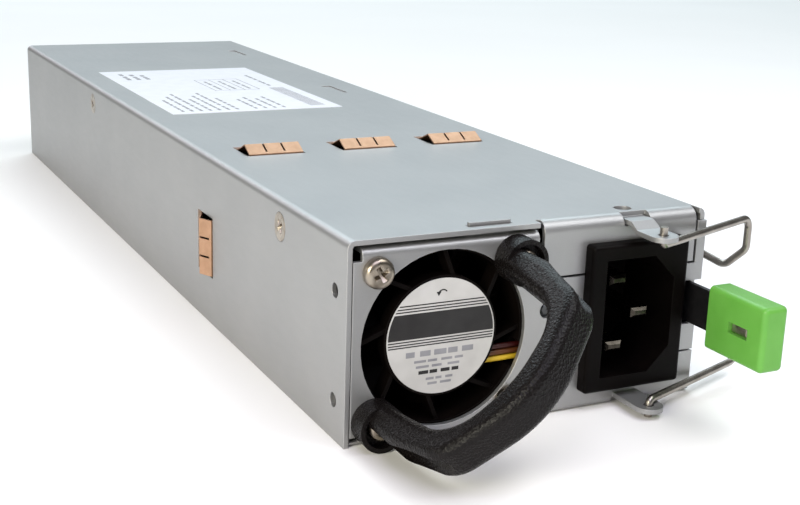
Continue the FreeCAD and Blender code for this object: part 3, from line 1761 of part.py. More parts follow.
def make_board():
    rows = [board_fore + d.standoff_inset, board_fore + d.standoff_middle, board_aft - d.connector_depth]
    spots = [(side * (board_half - d.standoff_inset), y) for side in (-1, 1) for y in rows]
    board = new_body("main_board")
    grow(board, "XY_Plane", board_low, [rectangle(-board_half, board_half, board_fore, board_aft)],
         d.board_thickness)
    thread = d.thread_radius + d.thread_clearance
    carve(board, "XY_Plane", board_top, [(x, y, thread) for x, y in spots], d.board_thickness)
    keep(board, "main_board")
    film = new_body("insulator_film")
    grow(film, "XY_Plane", d.skin, [rectangle(-board_half, board_half, board_fore, board_aft - d.panel_lip)],
         d.film_thickness)
    hole = d.standoff_radius + d.film_hole_margin
    carve(film, "XY_Plane", d.skin + d.film_thickness, [(x, y, hole) for x, y in spots], d.film_thickness)
    keep(film, "insulator_film")
    standoff = turned("standoff", [
        (thread, 0.0),
        (d.standoff_radius, 0.0),
        (d.standoff_radius, d.standoff_height),
        (thread, d.standoff_height),
    ])
    upright = Rotation(X_AXIS, 90)
    group("standoffs", copies(standoff, [(x, y, d.skin) for x, y in spots], upright))
    screw = turned("board_screw", [
        (0.0, -(d.board_thickness + d.standoff_height / 2)),
        (d.thread_radius, -(d.board_thickness + d.standoff_height / 2)),
        (d.thread_radius, 0.0),
        (d.board_screw_head, 0.0),
        (d.board_screw_head * BOARD_SCREW_TOP, d.board_screw_head_height),
        (0.0, d.board_screw_head_height),
    ])
    group("board_screws", copies(screw, [(x, y, board_top) for x, y in spots], upright))


# Line filter


def toroid(core_label, winding_label, x, y, radius, bore, height, wire, spans):
    """Flat ring core on the board with coil sections wound round it."""
    level = board_top + wire
    core = new_body(core_label)
    grow(core, "XY_Plane", level, [(x, y, radius), (x, y, bore)], height)
    keep(core, core_label)
    gap = d.toroid_clearance
    inner = worth(bore - wire)
    outer = worth(radius + wire)
    low = worth(board_top)
    top = worth(level + height + wire)
    centre = Vector(worth(x), worth(y), 0)

    def ring_section(inside, outside, bottom, ceiling_level):
        corners = [(inside, bottom), (outside, bottom), (outside, ceiling_level), (inside, ceiling_level)]
        points = [centre + Vector(reach, 0, z) for reach, z in corners]
        return Part.Face(Part.makePolygon(points + points[:1]))

    coils = []
    for start, sweep in spans:
        skin = ring_section(inner, outer, low, top)
        hollow = ring_section(worth(bore - gap), worth(radius + gap),
                              worth(level - gap), worth(level + height + gap))
        sector = skin.cut(hollow).Faces[0].revolve(centre, Z_AXIS, sweep)
        sector.rotate(centre, Z_AXIS, start)
        coils.append(sector)
    group(winding_label, coils)


def rounded_block(label, x, y, width, length, height, radius):
    """Moulded box on the board with rounded upright edges."""
    body = new_body(label)
    section = rectangle(x - width / 2, x + width / 2, y - length / 2, y + length / 2)
    grow(body, "XY_Plane", board_top, [section], height)
    round_edges(body, radius, lambda edge: runs_along(edge, Z_AXIS))
    return body


def make_line_filter():
    left = -board_half
    right = board_half
    fore = board_fore
    choke_x = left + d.choke_radius + 2 * d.choke_wire
    toroid("choke_core", "choke_windings", choke_x, fore + d.choke_row, d.choke_radius, d.choke_bore,
           d.choke_height, d.choke_wire, CHOKE_COILS)
    film_cap = rounded_block("film_capacitor", 0.0, 0.0, d.film_cap_width, d.film_cap_length,
                             d.film_cap_height, d.film_cap_round)
    film_caps = [
        (right - d.film_cap_inset - step * d.film_cap_spacing, fore + d.filter_row, 0.0)
        for step in range(2)
    ]
    group("x_capacitors", copies(film_cap, film_caps))
    disc = turned("disc_capacitor", [
        (0.0, 0.0),
        (d.disc_face_radius, 0.0),
        (d.disc_radius, d.disc_edge),
        (d.disc_radius, d.disc_thickness - d.disc_edge),
        (d.disc_face_radius, d.disc_thickness),
        (0.0, d.disc_thickness),
    ])
    discs = [
        (right - d.disc_inset - step * d.disc_spacing, fore + d.relay_row, board_top + d.disc_radius)
        for step in range(2)
    ]
    group("y_capacitors", copies(disc, discs))
    fuse = turned("line_fuse", [
        (0.0, 0.0),
        (d.fuse_radius, 0.0),
        (d.fuse_radius, d.fuse_height - d.fuse_edge),
        (d.fuse_radius - d.fuse_edge, d.fuse_height),
        (0.0, d.fuse_height),
    ])
    place(fuse, right - d.fuse_inset, fore + d.fuse_row, board_top, Rotation(X_AXIS, 90))
    keep(fuse, "line_fuse")
    relay = rounded_block("inrush_relay", left + d.relay_inset, fore + d.relay_row, d.relay_width,
                          d.relay_length, d.relay_height, d.film_cap_round)
    keep(relay, "inrush_relay")


# Rectifier, power-factor stage and converter


def heatsink_row():
    """X of the heatsink's outer face and Y of its front end."""
    return d.heatsink_depth + d.parts_gap - board_half, board_fore + d.heatsink_row


def make_primary_side():
    right = board_half
    plate_x, plate_y = heatsink_row()
    sink = new_body("primary_heatsink")
    comb = [(plate_x, board_top), (plate_x, tall), (plate_x - d.heatsink_base, tall)]
    fins = int(worth(tall - board_top - d.fin_thickness) / worth(d.fin_spacing))
    tip = plate_x - d.heatsink_depth
    root = plate_x - d.heatsink_base
    for number in range(fins):
        top = tall - d.fin_thickness - number * d.fin_spacing
        comb += [(root, top), (tip, top), (tip, top - d.fin_thickness), (root, top - d.fin_thickness)]
    comb.append((root, board_top))
    grow(sink, "XZ_Plane", -plate_y, [comb], d.heatsink_length, towards=-1)
    keep(sink, "primary_heatsink")

    # Transistors and the bridge stand against the heatsink's flat face
    transistors = []
    for number in range(2):
        y = worth(plate_y + d.fin_spacing / 2 + number * (d.transistor_width + d.parts_gap))
        transistors.append(leaded_package(worth(plate_x), y, worth(d.transistor_width), TRANSISTOR_LEGS))
    group("power_transistors", transistors)
    bridge_y = worth(plate_y + d.heatsink_length - d.bridge_width - d.parts_gap)
    bridge = document.addObject("Part::Feature", "bridge_rectifier")
    bridge.Shape = leaded_package(worth(plate_x), bridge_y, worth(d.bridge_width), BRIDGE_LEGS)
    keep(bridge, "bridge_rectifier")

    toroid("pfc_core", "pfc_winding", right - d.pfc_radius - 2 * d.pfc_wire,
           board_fore + d.pfc_row, d.pfc_radius, d.pfc_bore, d.pfc_height, d.pfc_wire, BOOST_COIL)
    can = turned("bulk_can", can_profile(d.bulk_radius, tall - board_top))
    bulk_x = right - d.bulk_inset
    bulk_step = 2 * d.bulk_radius + d.parts_gap
    spots = [(bulk_x, board_fore + d.bulk_row + step * bulk_step, board_top) for step in range(2)]
    group("bulk_capacitors", copies(can, spots, Rotation(X_AXIS, 90)))


def leaded_package(face_x, start_y, width, legs):
    """Moulded power package against a face, with legs down to the board."""
    foot = worth(board_top)
    thick = worth(d.transistor_thickness)
    body_low = foot + worth(d.package_lift)
    package = Part.makeBox(thick, width, worth(d.transistor_height), Vector(face_x, start_y, body_low))
    pitch = width / legs
    leg = worth(d.package_leg)
    for number in range(legs):
        y = start_y + (number + 0.5) * pitch - leg / 2
        package = package.fuse(Part.makeBox(leg, leg, body_low - foot, Vector(face_x + thick / 2, y, foot)))
    return package.removeSplitter()


def can_profile(radius, height):
    """Aluminium can with a rolled groove near its foot and a rounded rim."""
    groove = radius * CAN_GROOVE
    return [
        (0.0, 0.0),
        (radius - groove, 0.0),
        (radius, groove),
        (radius, radius * CAN_FOOT),
        (radius - groove, radius * CAN_GROOVE_LEVEL),
        (radius, radius * CAN_WALL_LEVEL),
        (radius, height - groove * 2),
        (radius - groove * 2, height),
        (0.0, height),
    ]


def make_transformer():
    x = d.transformer_inset - board_half
    y = board_fore + d.transformer_row
    long_half = d.core_length / 2
    wide_half = d.core_width / 2
    core = new_body("transformer_core")
    ring = [
        (-long_half, 0.0),
        (long_half, 0.0),
        (long_half, tall - board_top),
        (-long_half, tall - board_top),
    ]
    inner = rectangle(d.core_leg - long_half, long_half - d.core_leg, d.core_plate,
                      tall - board_top - d.core_plate)
    grow(core, "XZ_Plane", -wide_half, [ring, inner], d.core_width)
    grow(core, "XY_Plane", d.core_plate, [(0.0, 0.0, d.core_post_radius)],
         tall - board_top - 2 * d.core_plate)
    place(core, x, y, board_top, Rotation(Z_AXIS, 90))
    keep(core, "transformer_core")
    winding = new_body("transformer_winding")
    bore = d.core_post_radius + d.winding_gap
    grow(winding, "XY_Plane", d.core_plate, [(0.0, 0.0, d.winding_radius), (0.0, 0.0, bore)],
         tall - board_top - 2 * d.core_plate)
    place(winding, x, y, board_top)
    keep(winding, "transformer_winding")


def make_output_side():
    can = turned("output_can", can_profile(d.output_cap_radius, d.output_cap_height))
    step = 2 * d.output_cap_radius + d.parts_gap
    aft = board_aft - d.connector_depth - d.busbar_height
    spots = []
    for row in range(2):
        for column in range(4):
            x = board_half - d.output_cap_radius - d.parts_gap - column * step
            spots.append((x, aft - row * step, board_top))
    group("output_capacitors", copies(can, spots, Rotation(X_AXIS, 90)))
    bars = []
    connector_face = rear + d.connector_proud - d.connector_depth
    for order in range(2):
        x = -(d.blade_spacing * (1 + 2 * order)) - d.connector_width / 2 * POWER_SHIFT
        bars.append(Part.makeBox(
            worth(d.busbar_thickness), worth(d.busbar_length), worth(d.busbar_height),
            Vector(worth(x), worth(connector_face - d.busbar_length), worth(board_top)),
        ))
    group("output_busbars", bars)
    card_x = board_half - d.card_inset
    card_aft = aft - d.card_setback
    keep(block("control_board", card_x - d.board_thickness, card_x,
               card_aft - d.card_length, card_aft, board_top, tall), "control_board")


make_cover()
make_chassis()
make_rear_panel()
make_cover_screws()
make_fan_screws()
make_fan_frame()
make_fan_rotor()
make_fan_inside()
make_fan_leads()
make_handle()
make_inlet()
make_inlet_leads()
make_bale()
make_latch()
make_finger_strips()
make_label_and_light()
make_output()
make_board()
make_line_filter()
make_primary_side()
make_transformer()
make_output_side()

document.recompute()
for item in document.Objects:
    if "Invalid" in item.State or "Error" in item.State:
        raise RuntimeError(f"{item.Label} failed: {item.State}")
for label, item in nodes.items():
    if item.Shape.isNull() or not item.Shape.isValid():
        raise RuntimeError(f"{label} has no valid shape")

os.makedirs("parts", exist_ok=True)
for label, item in nodes.items():
    item.Shape.exportStep(f"parts/{label}.step")
print(len(nodes), "nodes written")
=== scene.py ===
import math

import bmesh
import bpy
from mathutils import Matrix, Vector


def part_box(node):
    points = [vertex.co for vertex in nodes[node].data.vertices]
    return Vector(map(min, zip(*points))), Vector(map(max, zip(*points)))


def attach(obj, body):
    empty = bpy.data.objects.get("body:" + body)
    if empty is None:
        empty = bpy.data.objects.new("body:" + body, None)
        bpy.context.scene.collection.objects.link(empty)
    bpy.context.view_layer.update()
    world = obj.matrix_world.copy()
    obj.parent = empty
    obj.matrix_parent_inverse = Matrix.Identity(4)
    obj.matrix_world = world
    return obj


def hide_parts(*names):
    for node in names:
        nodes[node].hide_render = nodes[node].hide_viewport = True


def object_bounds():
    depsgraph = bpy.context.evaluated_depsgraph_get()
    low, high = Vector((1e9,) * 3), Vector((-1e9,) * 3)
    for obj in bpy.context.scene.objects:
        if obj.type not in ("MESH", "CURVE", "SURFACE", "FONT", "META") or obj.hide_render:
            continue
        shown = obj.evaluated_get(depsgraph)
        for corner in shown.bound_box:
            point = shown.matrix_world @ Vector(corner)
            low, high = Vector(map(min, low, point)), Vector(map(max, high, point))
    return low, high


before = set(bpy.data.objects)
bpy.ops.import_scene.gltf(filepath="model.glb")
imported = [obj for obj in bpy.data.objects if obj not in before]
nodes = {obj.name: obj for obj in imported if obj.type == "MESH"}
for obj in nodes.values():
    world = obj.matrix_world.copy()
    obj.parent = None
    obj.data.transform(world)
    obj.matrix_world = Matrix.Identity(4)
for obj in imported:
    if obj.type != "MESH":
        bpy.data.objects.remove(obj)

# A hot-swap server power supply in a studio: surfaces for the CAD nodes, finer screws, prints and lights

cad_low, cad_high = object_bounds()
MM = 0.001

# Surfaces

# Sockets that the Mix node uses for colours
MIX_FACTOR = 0
MIX_FIRST = 6
MIX_SECOND = 7
MIX_RESULT = 2


class Surface:
    """One material: a Principled shader fed by patterns measured in millimetres."""

    def __init__(self, name, metallic=0.0, roughness=0.5, specular=0.5):
        self.material = bpy.data.materials.new(name)
        self.material.use_nodes = True
        self.tree = self.material.node_tree
        self.shader = self.tree.nodes["Principled BSDF"]
        self.set("Metallic", metallic)
        self.set("Roughness", roughness)
        self.set("Specular IOR Level", specular)
        place = self.tree.nodes.new("ShaderNodeTexCoord")
        scaled = self.tree.nodes.new("ShaderNodeMapping")
        scaled.inputs["Scale"].default_value = (1 / MM, 1 / MM, 1 / MM)
        self.tree.links.new(place.outputs["Object"], scaled.inputs["Vector"])
        self.where = scaled.outputs["Vector"]

    def set(self, socket, value):
        """Fixed value on the shader."""
        self.shader.inputs[socket].default_value = value

    def feed(self, socket, source):
        """Pattern led into the shader."""
        self.tree.links.new(source, self.shader.inputs[socket])

    def node(self, kind, inputs=None, **settings):
        """New node, with a value or a pattern on each input that is named."""
        made = self.tree.nodes.new(kind)
        for name, value in settings.items():
            setattr(made, name, value)
        for name, value in (inputs or {}).items():
            if isinstance(value, bpy.types.NodeSocket):
                self.tree.links.new(value, made.inputs[name])
            else:
                made.inputs[name].default_value = value
        return made

    def stretched(self, across, along, up):
        """Coordinates with the pattern drawn out along some axes."""
        return self.node("ShaderNodeMapping", {"Vector": self.where, "Scale": (across, along, up)}).outputs[0]

    def noise(self, size, detail=3.0, where=None):
        """Cloudy pattern with blotches of about this size in millimetres."""
        inputs = {"Vector": where or self.where, "Scale": 1 / size, "Detail": detail}
        return self.node("ShaderNodeTexNoise", inputs).outputs["Fac"]

    def cells(self, size):
        """Pebbled pattern, the distance to the nearest of many points."""
        inputs = {"Vector": self.where, "Scale": 1 / size}
        return self.node("ShaderNodeTexVoronoi", inputs).outputs["Distance"]

    def math(self, operation, first, second):
        """Sum, product or comparison of two numbers or patterns."""
        made = self.node("ShaderNodeMath", operation=operation)
        for index, value in enumerate((first, second)):
            if isinstance(value, bpy.types.NodeSocket):
                self.tree.links.new(value, made.inputs[index])
            else:
                made.inputs[index].default_value = value
        return made.outputs[0]

    def spread(self, factor, low, high, start=0.3, end=0.7):
        """Map a pattern to a range of numbers."""
        inputs = {"Value": factor, "From Min": start, "From Max": end, "To Min": low, "To Max": high}
        return self.node("ShaderNodeMapRange", inputs).outputs[0]

    def tint(self, factor, low, high, start=0.3, end=0.7):
        """Map a pattern to a range of colours."""
        ramp = self.node("ShaderNodeValToRGB", {"Fac": factor})
        first, last = ramp.color_ramp.elements
        first.position = start
        first.color = (*low, 1.0)
        last.position = end
        last.color = (*high, 1.0)
        return ramp.outputs["Color"]

    def mix(self, factor, first, second):
        """Blend of two colours by a mask."""
        made = self.node("ShaderNodeMix", data_type="RGBA")
        for index, value in ((MIX_FACTOR, factor), (MIX_FIRST, first), (MIX_SECOND, second)):
            if isinstance(value, bpy.types.NodeSocket):
                self.tree.links.new(value, made.inputs[index])
            elif index == MIX_FACTOR:
                made.inputs[index].default_value = value
            else:
                made.inputs[index].default_value = (*value, 1.0)
        return made.outputs[MIX_RESULT]

    def soft_edges(self, radius):
        """Normal that rounds off sharp edges by a small radius, and a mask of those edges."""
        bevel = self.node("ShaderNodeBevel", {"Radius": radius * MM}, samples=6)
        plain = self.node("ShaderNodeNewGeometry").outputs["Normal"]
        turn = self.node("ShaderNodeVectorMath", operation="DOT_PRODUCT")
        self.tree.links.new(bevel.outputs[0], turn.inputs[0])
        self.tree.links.new(plain, turn.inputs[1])
        edge = self.spread(turn.outputs["Value"], 1.0, 0.0, start=0.75, end=0.995)
        return bevel.outputs[0], edge

    def bump(self, height, depth, normal=None, strength=1.0):
        """Relief of this depth in millimetres."""
        inputs = {"Height": height, "Distance": depth * MM, "Strength": strength}
        if normal:
            inputs["Normal"] = normal
        self.feed("Normal", self.node("ShaderNodeBump", inputs).outputs["Normal"])

    def along(self, axis):
        """One coordinate of the surface, in millimetres."""
        return self.node("ShaderNodeSeparateXYZ", {"Vector": self.where}).outputs[axis]


def zinc_sheet():
    """Satin zinc-coated steel: a neutral grey with fine specks and faint clouds; its sharp edges are
    lightened, a painted highlight that also stands for bare cut edges.
    """
    surface = Surface("zinc_sheet", metallic=0.78, specular=0.4)
    clouds = surface.noise(22.0, 3.0)
    specks = surface.noise(0.22, 2.0)
    rolled = surface.noise(1.4, 3.0, where=surface.stretched(1.0, 0.25, 1.0))
    normal, edge = surface.soft_edges(0.25)
    body = surface.tint(clouds, (0.342, 0.343, 0.345), (0.372, 0.371, 0.37))
    fine = surface.mix(surface.spread(specks, 0.0, 0.22), body, (0.442, 0.436, 0.432))
    # Sharp edges lightened to pale grey: painted highlight, partly bare cut edges.
    surface.feed("Base Color", surface.mix(surface.math("MULTIPLY", edge, 0.45), fine, (0.62, 0.62, 0.62)))
    surface.feed("Roughness", surface.spread(rolled, 0.43, 0.47))
    surface.bump(specks, 0.012, normal, strength=0.5)
    return surface.material


def plated(name, dark, bright, roughness, grain=0.6, depth=0.01):
    """Plated or drawn metal with faint scuffs; its edges are lightened towards the bright tone, partly wear
    and partly painted highlight.
    """
    surface = Surface(name, metallic=1.0)
    scuffs = surface.noise(grain, 4.0)
    stains = surface.noise(2.6, 2.0)
    normal, edge = surface.soft_edges(0.12)
    body = surface.tint(stains, dark, bright)
    # Edges lightened: painted highlight and wear.
    surface.feed("Base Color", surface.mix(surface.math("MULTIPLY", edge, 0.35), body, bright))
    surface.feed("Roughness", surface.spread(scuffs, roughness - 0.06, roughness + 0.08))
    surface.bump(scuffs, depth, normal, strength=0.5)
    return surface.material


def drawn_wire():
    """Stainless wire with fine scratches."""
    surface = Surface("drawn_wire", metallic=1.0)
    scratches = surface.noise(0.18, 3.0)
    tone = surface.noise(3.5, 2.0)
    surface.feed("Base Color", surface.tint(tone, (0.27, 0.243, 0.212), (0.39, 0.36, 0.32)))
    surface.feed("Roughness", surface.spread(scratches, 0.24, 0.4))
    surface.bump(scratches, 0.006, strength=0.5)
    return surface.material


def moulded(name, dark, light, roughness, grain=0.35, depth=0.02, specular=0.45):
    """Moulded plastic with a fine spark-eroded grain; its edges are lightened, partly wear and partly painted
    highlight.
    """
    surface = Surface(name, specular=specular)
    pebbles = surface.cells(grain)
    clouds = surface.noise(6.0, 3.0)
    normal, edge = surface.soft_edges(0.2)
    body = surface.tint(clouds, dark, light)
    # Edges lighter than the body: wear and painted highlight.
    rubbed_and_highlit = tuple(min(1.0, 1.35 * part + 0.004) for part in light)
    surface.feed("Base Color", surface.mix(surface.math("MULTIPLY", edge, 0.4), body, rubbed_and_highlit))
    surface.feed("Roughness", surface.spread(clouds, roughness - 0.05, roughness + 0.07))
    surface.bump(pebbles, depth, normal, strength=0.6)
    return surface.material


def grained_handle():
    """Coarse leather-like grain on black nylon; hands have smoothed the crests, which are also lighter in
    colour, a painted sheen.
    """
    surface = Surface("grained_handle", specular=0.15)
    pebbles = surface.cells(0.5)
    fine = surface.noise(0.25, 3.0)
    clouds = surface.noise(9.0, 3.0)
    height = surface.math("ADD", pebbles, surface.math("MULTIPLY", fine, 0.8))
    crest = surface.spread(height, 0.0, 1.0, start=0.4, end=1.1)
    body = surface.tint(clouds, (0.002, 0.0015, 0.0014), (0.0034, 0.0026, 0.0025))
    # Lighter colour on the crests: painted sheen; the lower roughness below is the real polish.
    crest_painted_sheen = surface.math("MULTIPLY", crest, 0.4)
    surface.feed("Base Color", surface.mix(crest_painted_sheen, body, (0.014, 0.0115, 0.0115)))
    surface.feed("Roughness", surface.spread(crest, 0.42, 0.24, start=0.2, end=0.9))
    surface.bump(height, 0.1, strength=0.9)
    return surface.material


def green_tab():
    """Bright green moulded tab with a soft satin skin."""
    surface = Surface("green_tab", specular=0.42)
    surface.set("Subsurface Weight", 0.12)
    surface.set("Subsurface Radius", (0.4, 1.0, 0.2))
    surface.set("Subsurface Scale", 0.6 * MM)
    clouds = surface.noise(5.0, 3.0)
    pits = surface.noise(0.3, 2.0)
    surface.feed("Base Color", surface.tint(clouds, (0.115, 0.36, 0.05), (0.135, 0.395, 0.062)))
    surface.feed("Roughness", surface.spread(pits, 0.36, 0.47))
    surface.bump(pits, 0.012, strength=0.5)
    return surface.material


def oxide_arm(bare_from):
    """Blackened spring steel; the tongue inside the tab is left bare."""
    surface = Surface("oxide_arm")
    scuffs = surface.noise(0.9, 4.0)
    normal, edge = surface.soft_edges(0.12)
    black = surface.tint(scuffs, (0.008, 0.008, 0.009), (0.017, 0.016, 0.017))
    # Edges lightened to grey: bare steel from wear and painted highlight.
    worn_and_highlit = surface.mix(surface.math("MULTIPLY", edge, 0.3), black, (0.09, 0.085, 0.08))
    bare = surface.math("LESS_THAN", surface.along("Y"), bare_from / MM)
    steel = surface.tint(scuffs, (0.42, 0.37, 0.31), (0.55, 0.5, 0.43))
    surface.feed("Base Color", surface.mix(bare, worn_and_highlit, steel))
    surface.feed("Metallic", surface.spread(bare, 0.35, 1.0, start=0.0, end=1.0))
    surface.feed("Roughness", surface.spread(scuffs, 0.32, 0.46))
    surface.bump(scuffs, 0.012, normal, strength=0.5)
    return surface.material


def film(name, low, high, roughness):
    """Printed label film, very slightly uneven where it was pressed on."""
    surface = Surface(name, specular=0.4)
    ripple = surface.noise(4.0, 2.0)
    fibres = surface.noise(0.25, 2.0)
    surface.feed("Base Color", surface.tint(ripple, low, high))
    surface.feed("Roughness", surface.spread(fibres, roughness - 0.05, roughness + 0.06))
    surface.bump(ripple, 0.02, strength=0.4)
    return surface.material


def smoked_lens():
    """Dark clear plastic over a status light that is off."""
    surface = Surface("smoked_lens", roughness=0.12, specular=0.5)
    depth = surface.noise(0.7, 2.0)
    surface.set("Coat Weight", 0.4)
    surface.feed("Base Color", surface.tint(depth, (0.008, 0.009, 0.01), (0.022, 0.026, 0.028)))
    return surface.material


def circuit_board():
    """Green solder mask: rows of tracks with darker lines between them."""
    surface = Surface("circuit_board", specular=0.5)
    tracks = surface.node("ShaderNodeTexBrick", {
        "Vector": surface.where,
        "Color1": (0.012, 0.1, 0.036, 1.0),
        "Color2": (0.016, 0.13, 0.046, 1.0),
        "Mortar": (0.008, 0.06, 0.024, 1.0),
        "Scale": 0.35,
    }).outputs["Color"]
    surface.feed("Base Color", tracks)
    surface.feed("Roughness", surface.spread(surface.noise(1.5), 0.28, 0.4))
    return surface.material


def wound(name, dark, bright, pitch):
    """Enamelled wire laid turn by turn: fine ribs, bright on top and darker between, a painted highlight and
    painted shade.
    """
    surface = Surface(name, metallic=0.7)
    ribs = surface.node("ShaderNodeTexWave", {"Vector": surface.where, "Scale": 1 / pitch, "Distortion": 1.2})
    relief = ribs.outputs["Fac"]
    # Colour follows the relief: painted shade in the grooves between turns, painted highlight on the ribs.
    surface.feed("Base Color", surface.tint(relief, dark, bright, start=0.2, end=0.8))
    surface.feed("Roughness", surface.spread(relief, 0.45, 0.28))
    surface.bump(relief, 0.25, strength=0.8)
    return surface.material


def insulation(name, dark, light):
    """Smooth plastic round a lead."""
    return moulded(name, dark, light, 0.4, grain=0.5, depth=0.008)


steel = zinc_sheet()
# The darker screw plate tone is partly painted shade on the plated colour.
screw_plate = plated("screw_plate", (0.25, 0.21, 0.165), (0.42, 0.37, 0.31), 0.3, grain=1.2, depth=0.004)
fan_black = moulded(
    "fan_black",
    (0.0022, 0.0016, 0.0014),
    (0.0042, 0.0027, 0.0022),
    0.5,
    grain=0.3,
    depth=0.012,
    specular=0.05,
)
ground_metal = plated("ground_metal", (0.45, 0.45, 0.46), (0.6, 0.6, 0.61), 0.3)
magnet = moulded("bonded_magnet", (0.03, 0.028, 0.028), (0.05, 0.046, 0.045), 0.7)
stator = plated("stator_laminations", (0.2, 0.18, 0.16), (0.34, 0.31, 0.28), 0.5)
hub_film = film("hub_film", (0.5, 0.49, 0.475), (0.56, 0.55, 0.535), 0.36)
plate_film = film("plate_film", (0.77, 0.79, 0.84), (0.82, 0.84, 0.89), 0.4)
print_ink = film("print_ink", (0.012, 0.011, 0.011), (0.02, 0.019, 0.019), 0.5)
faint_ink = film("faint_ink", (0.22, 0.22, 0.24), (0.3, 0.3, 0.32), 0.5)
handle_black = grained_handle()
inlet_black = moulded(
    "inlet_black",
    (0.0017, 0.0012, 0.0011),
    (0.0032, 0.0022, 0.002),
    0.42,
    grain=0.25,
    depth=0.01,
    specular=0.06,
)
# Inlet pins set near black: painted shade of the inlet's recess on plated metal.
pin_plate_painted_shade = plated("pin_plate_painted_shade", (0.035, 0.03, 0.024), (0.07, 0.062, 0.052), 0.24)
wire_steel = drawn_wire()
copper = plated("finger_copper", (0.49, 0.29, 0.18), (0.57, 0.345, 0.222), 0.44, grain=0.8, depth=0.006)
tab_green = green_tab()
latch_black = oxide_arm(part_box("latch_tab")[1].y)
lens = smoked_lens()
connector_black = moulded("connector_black", (0.01, 0.01, 0.01), (0.018, 0.018, 0.018), 0.48)
connector_white = moulded("connector_white", (0.6, 0.58, 0.5), (0.68, 0.66, 0.58), 0.45)
gold = plated("contact_gold", (0.68, 0.45, 0.13), (0.85, 0.62, 0.24), 0.25)
board = circuit_board()
film_black = film("film_black", (0.012, 0.012, 0.013), (0.02, 0.02, 0.021), 0.5)
brass = plated("standoff_brass", (0.5, 0.37, 0.15), (0.66, 0.5, 0.24), 0.32)
ferrite = moulded("ferrite", (0.03, 0.03, 0.034), (0.05, 0.05, 0.055), 0.6)
winding = wound("winding_copper", (0.25, 0.08, 0.02), (0.5, 0.2, 0.07), 3.2)
cap_yellow = moulded("cap_yellow", (0.46, 0.32, 0.03), (0.55, 0.4, 0.05), 0.4)
cap_blue = moulded("cap_blue", (0.03, 0.1, 0.3), (0.05, 0.14, 0.4), 0.3)
package = moulded("package_black", (0.015, 0.015, 0.015), (0.025, 0.025, 0.026), 0.55)
sleeve = moulded("can_sleeve", (0.015, 0.016, 0.03), (0.025, 0.026, 0.045), 0.3)
heatsink = plated("heatsink_metal", (0.42, 0.42, 0.44), (0.54, 0.54, 0.56), 0.42)
busbar = plated("busbar_copper", (0.48, 0.22, 0.1), (0.64, 0.34, 0.18), 0.34)
leads = {
    "red": insulation("lead_red", (0.026, 0.0016, 0.0014), (0.036, 0.0024, 0.002)),
    "brown": insulation("lead_brown", (0.08, 0.024, 0.006), (0.11, 0.034, 0.009)),
    "yellow": insulation("lead_yellow", (0.55, 0.36, 0.015), (0.66, 0.45, 0.03)),
    "black": insulation("lead_black", (0.01, 0.01, 0.01), (0.018, 0.018, 0.018)),
    "white": insulation("lead_white", (0.6, 0.6, 0.58), (0.68, 0.68, 0.66)),
    "green": insulation("lead_green", (0.02, 0.16, 0.02), (0.03, 0.22, 0.03)),
}

# Which surface each CAD node gets
FINISHES = {
    steel: ("cover", "chassis", "rear_panel"),
    screw_plate: ("board_screws", "latch_rivets"),
    fan_black: ("fan_frame", "fan_rotor"),
    ground_metal: ("fan_shaft", "fan_bearings"),
    magnet: ("fan_magnet",),
    stator: ("fan_stator",),
    hub_film: ("fan_label",),
    plate_film: ("spec_label",),
    handle_black: ("handle",),
    inlet_black: ("inlet_housing",),
    pin_plate_painted_shade: ("inlet_line_pin", "inlet_neutral_pin", "inlet_earth_pin"),
    wire_steel: ("bale",),
    copper: (
        "top_fingers_left",
        "top_fingers_middle",
        "top_fingers_right",
        "side_fingers_left",
        "side_fingers_right",
    ),
    tab_green: ("latch_tab",),
    latch_black: ("latch_arm", "latch_root"),
    lens: ("status_led",),
    connector_black: ("output_connector",),
    connector_white: ("fan_connector",),
    gold: ("output_contacts",),
    board: ("main_board", "control_board"),
    film_black: ("insulator_film",),
    brass: ("standoffs",),
    ferrite: ("choke_core", "pfc_core", "transformer_core"),
    winding: ("choke_windings", "pfc_winding", "transformer_winding"),
    cap_yellow: ("x_capacitors",),
    cap_blue: ("y_capacitors",),
    package: ("power_transistors", "bridge_rectifier", "line_fuse", "inrush_relay"),
    sleeve: ("bulk_capacitors", "output_capacitors"),
    heatsink: ("primary_heatsink",),
    busbar: ("output_busbars",),
    leads["red"]: ("fan_lead_red",),
    leads["brown"]: ("fan_lead_brown",),
    leads["yellow"]: ("fan_lead_yellow",),
    leads["black"]: ("line_lead",),
    leads["white"]: ("neutral_lead",),
    leads["green"]: ("earth_lead",),
}

for finish, members in FINISHES.items():
    for name in members:
        slots = nodes[name].data.materials
        slots.clear()
        slots.append(finish)

# Meshes

WELD = 0.001 * MM


def as_object(name, maker):
    """Loose object from a bmesh, which is freed."""
    mesh = bpy.data.meshes.new(name)
    maker.to_mesh(mesh)
    maker.free()
    made = bpy.data.objects.new(name, mesh)
    bpy.context.scene.collection.objects.link(made)
    return made


def piece(name, maker, finish, body):
    """New object on a CAD body, from a bmesh."""
    made = as_object(name, maker)
    made.data.materials.append(finish)
    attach(made, body)
    return made


def solids_of(name):
    """Lowest and highest corners of each separate solid in a CAD node."""
    joined = bmesh.new()
    joined.from_mesh(nodes[name].data)
    bmesh.ops.remove_doubles(joined, verts=joined.verts, dist=WELD)
    waiting = set(joined.verts)
    boxes = []
    while waiting:
        found = [waiting.pop()]
        for vertex in found:
            for edge in vertex.link_edges:
                other = edge.other_vert(vertex)
                if other in waiting:
                    waiting.remove(other)
                    found.append(other)
        low = Vector(min(v.co[axis] for v in found) for axis in range(3))
        high = Vector(max(v.co[axis] for v in found) for axis in range(3))
        boxes.append((low, high))
    joined.free()
    return sorted(boxes, key=lambda box: tuple(box[0]))


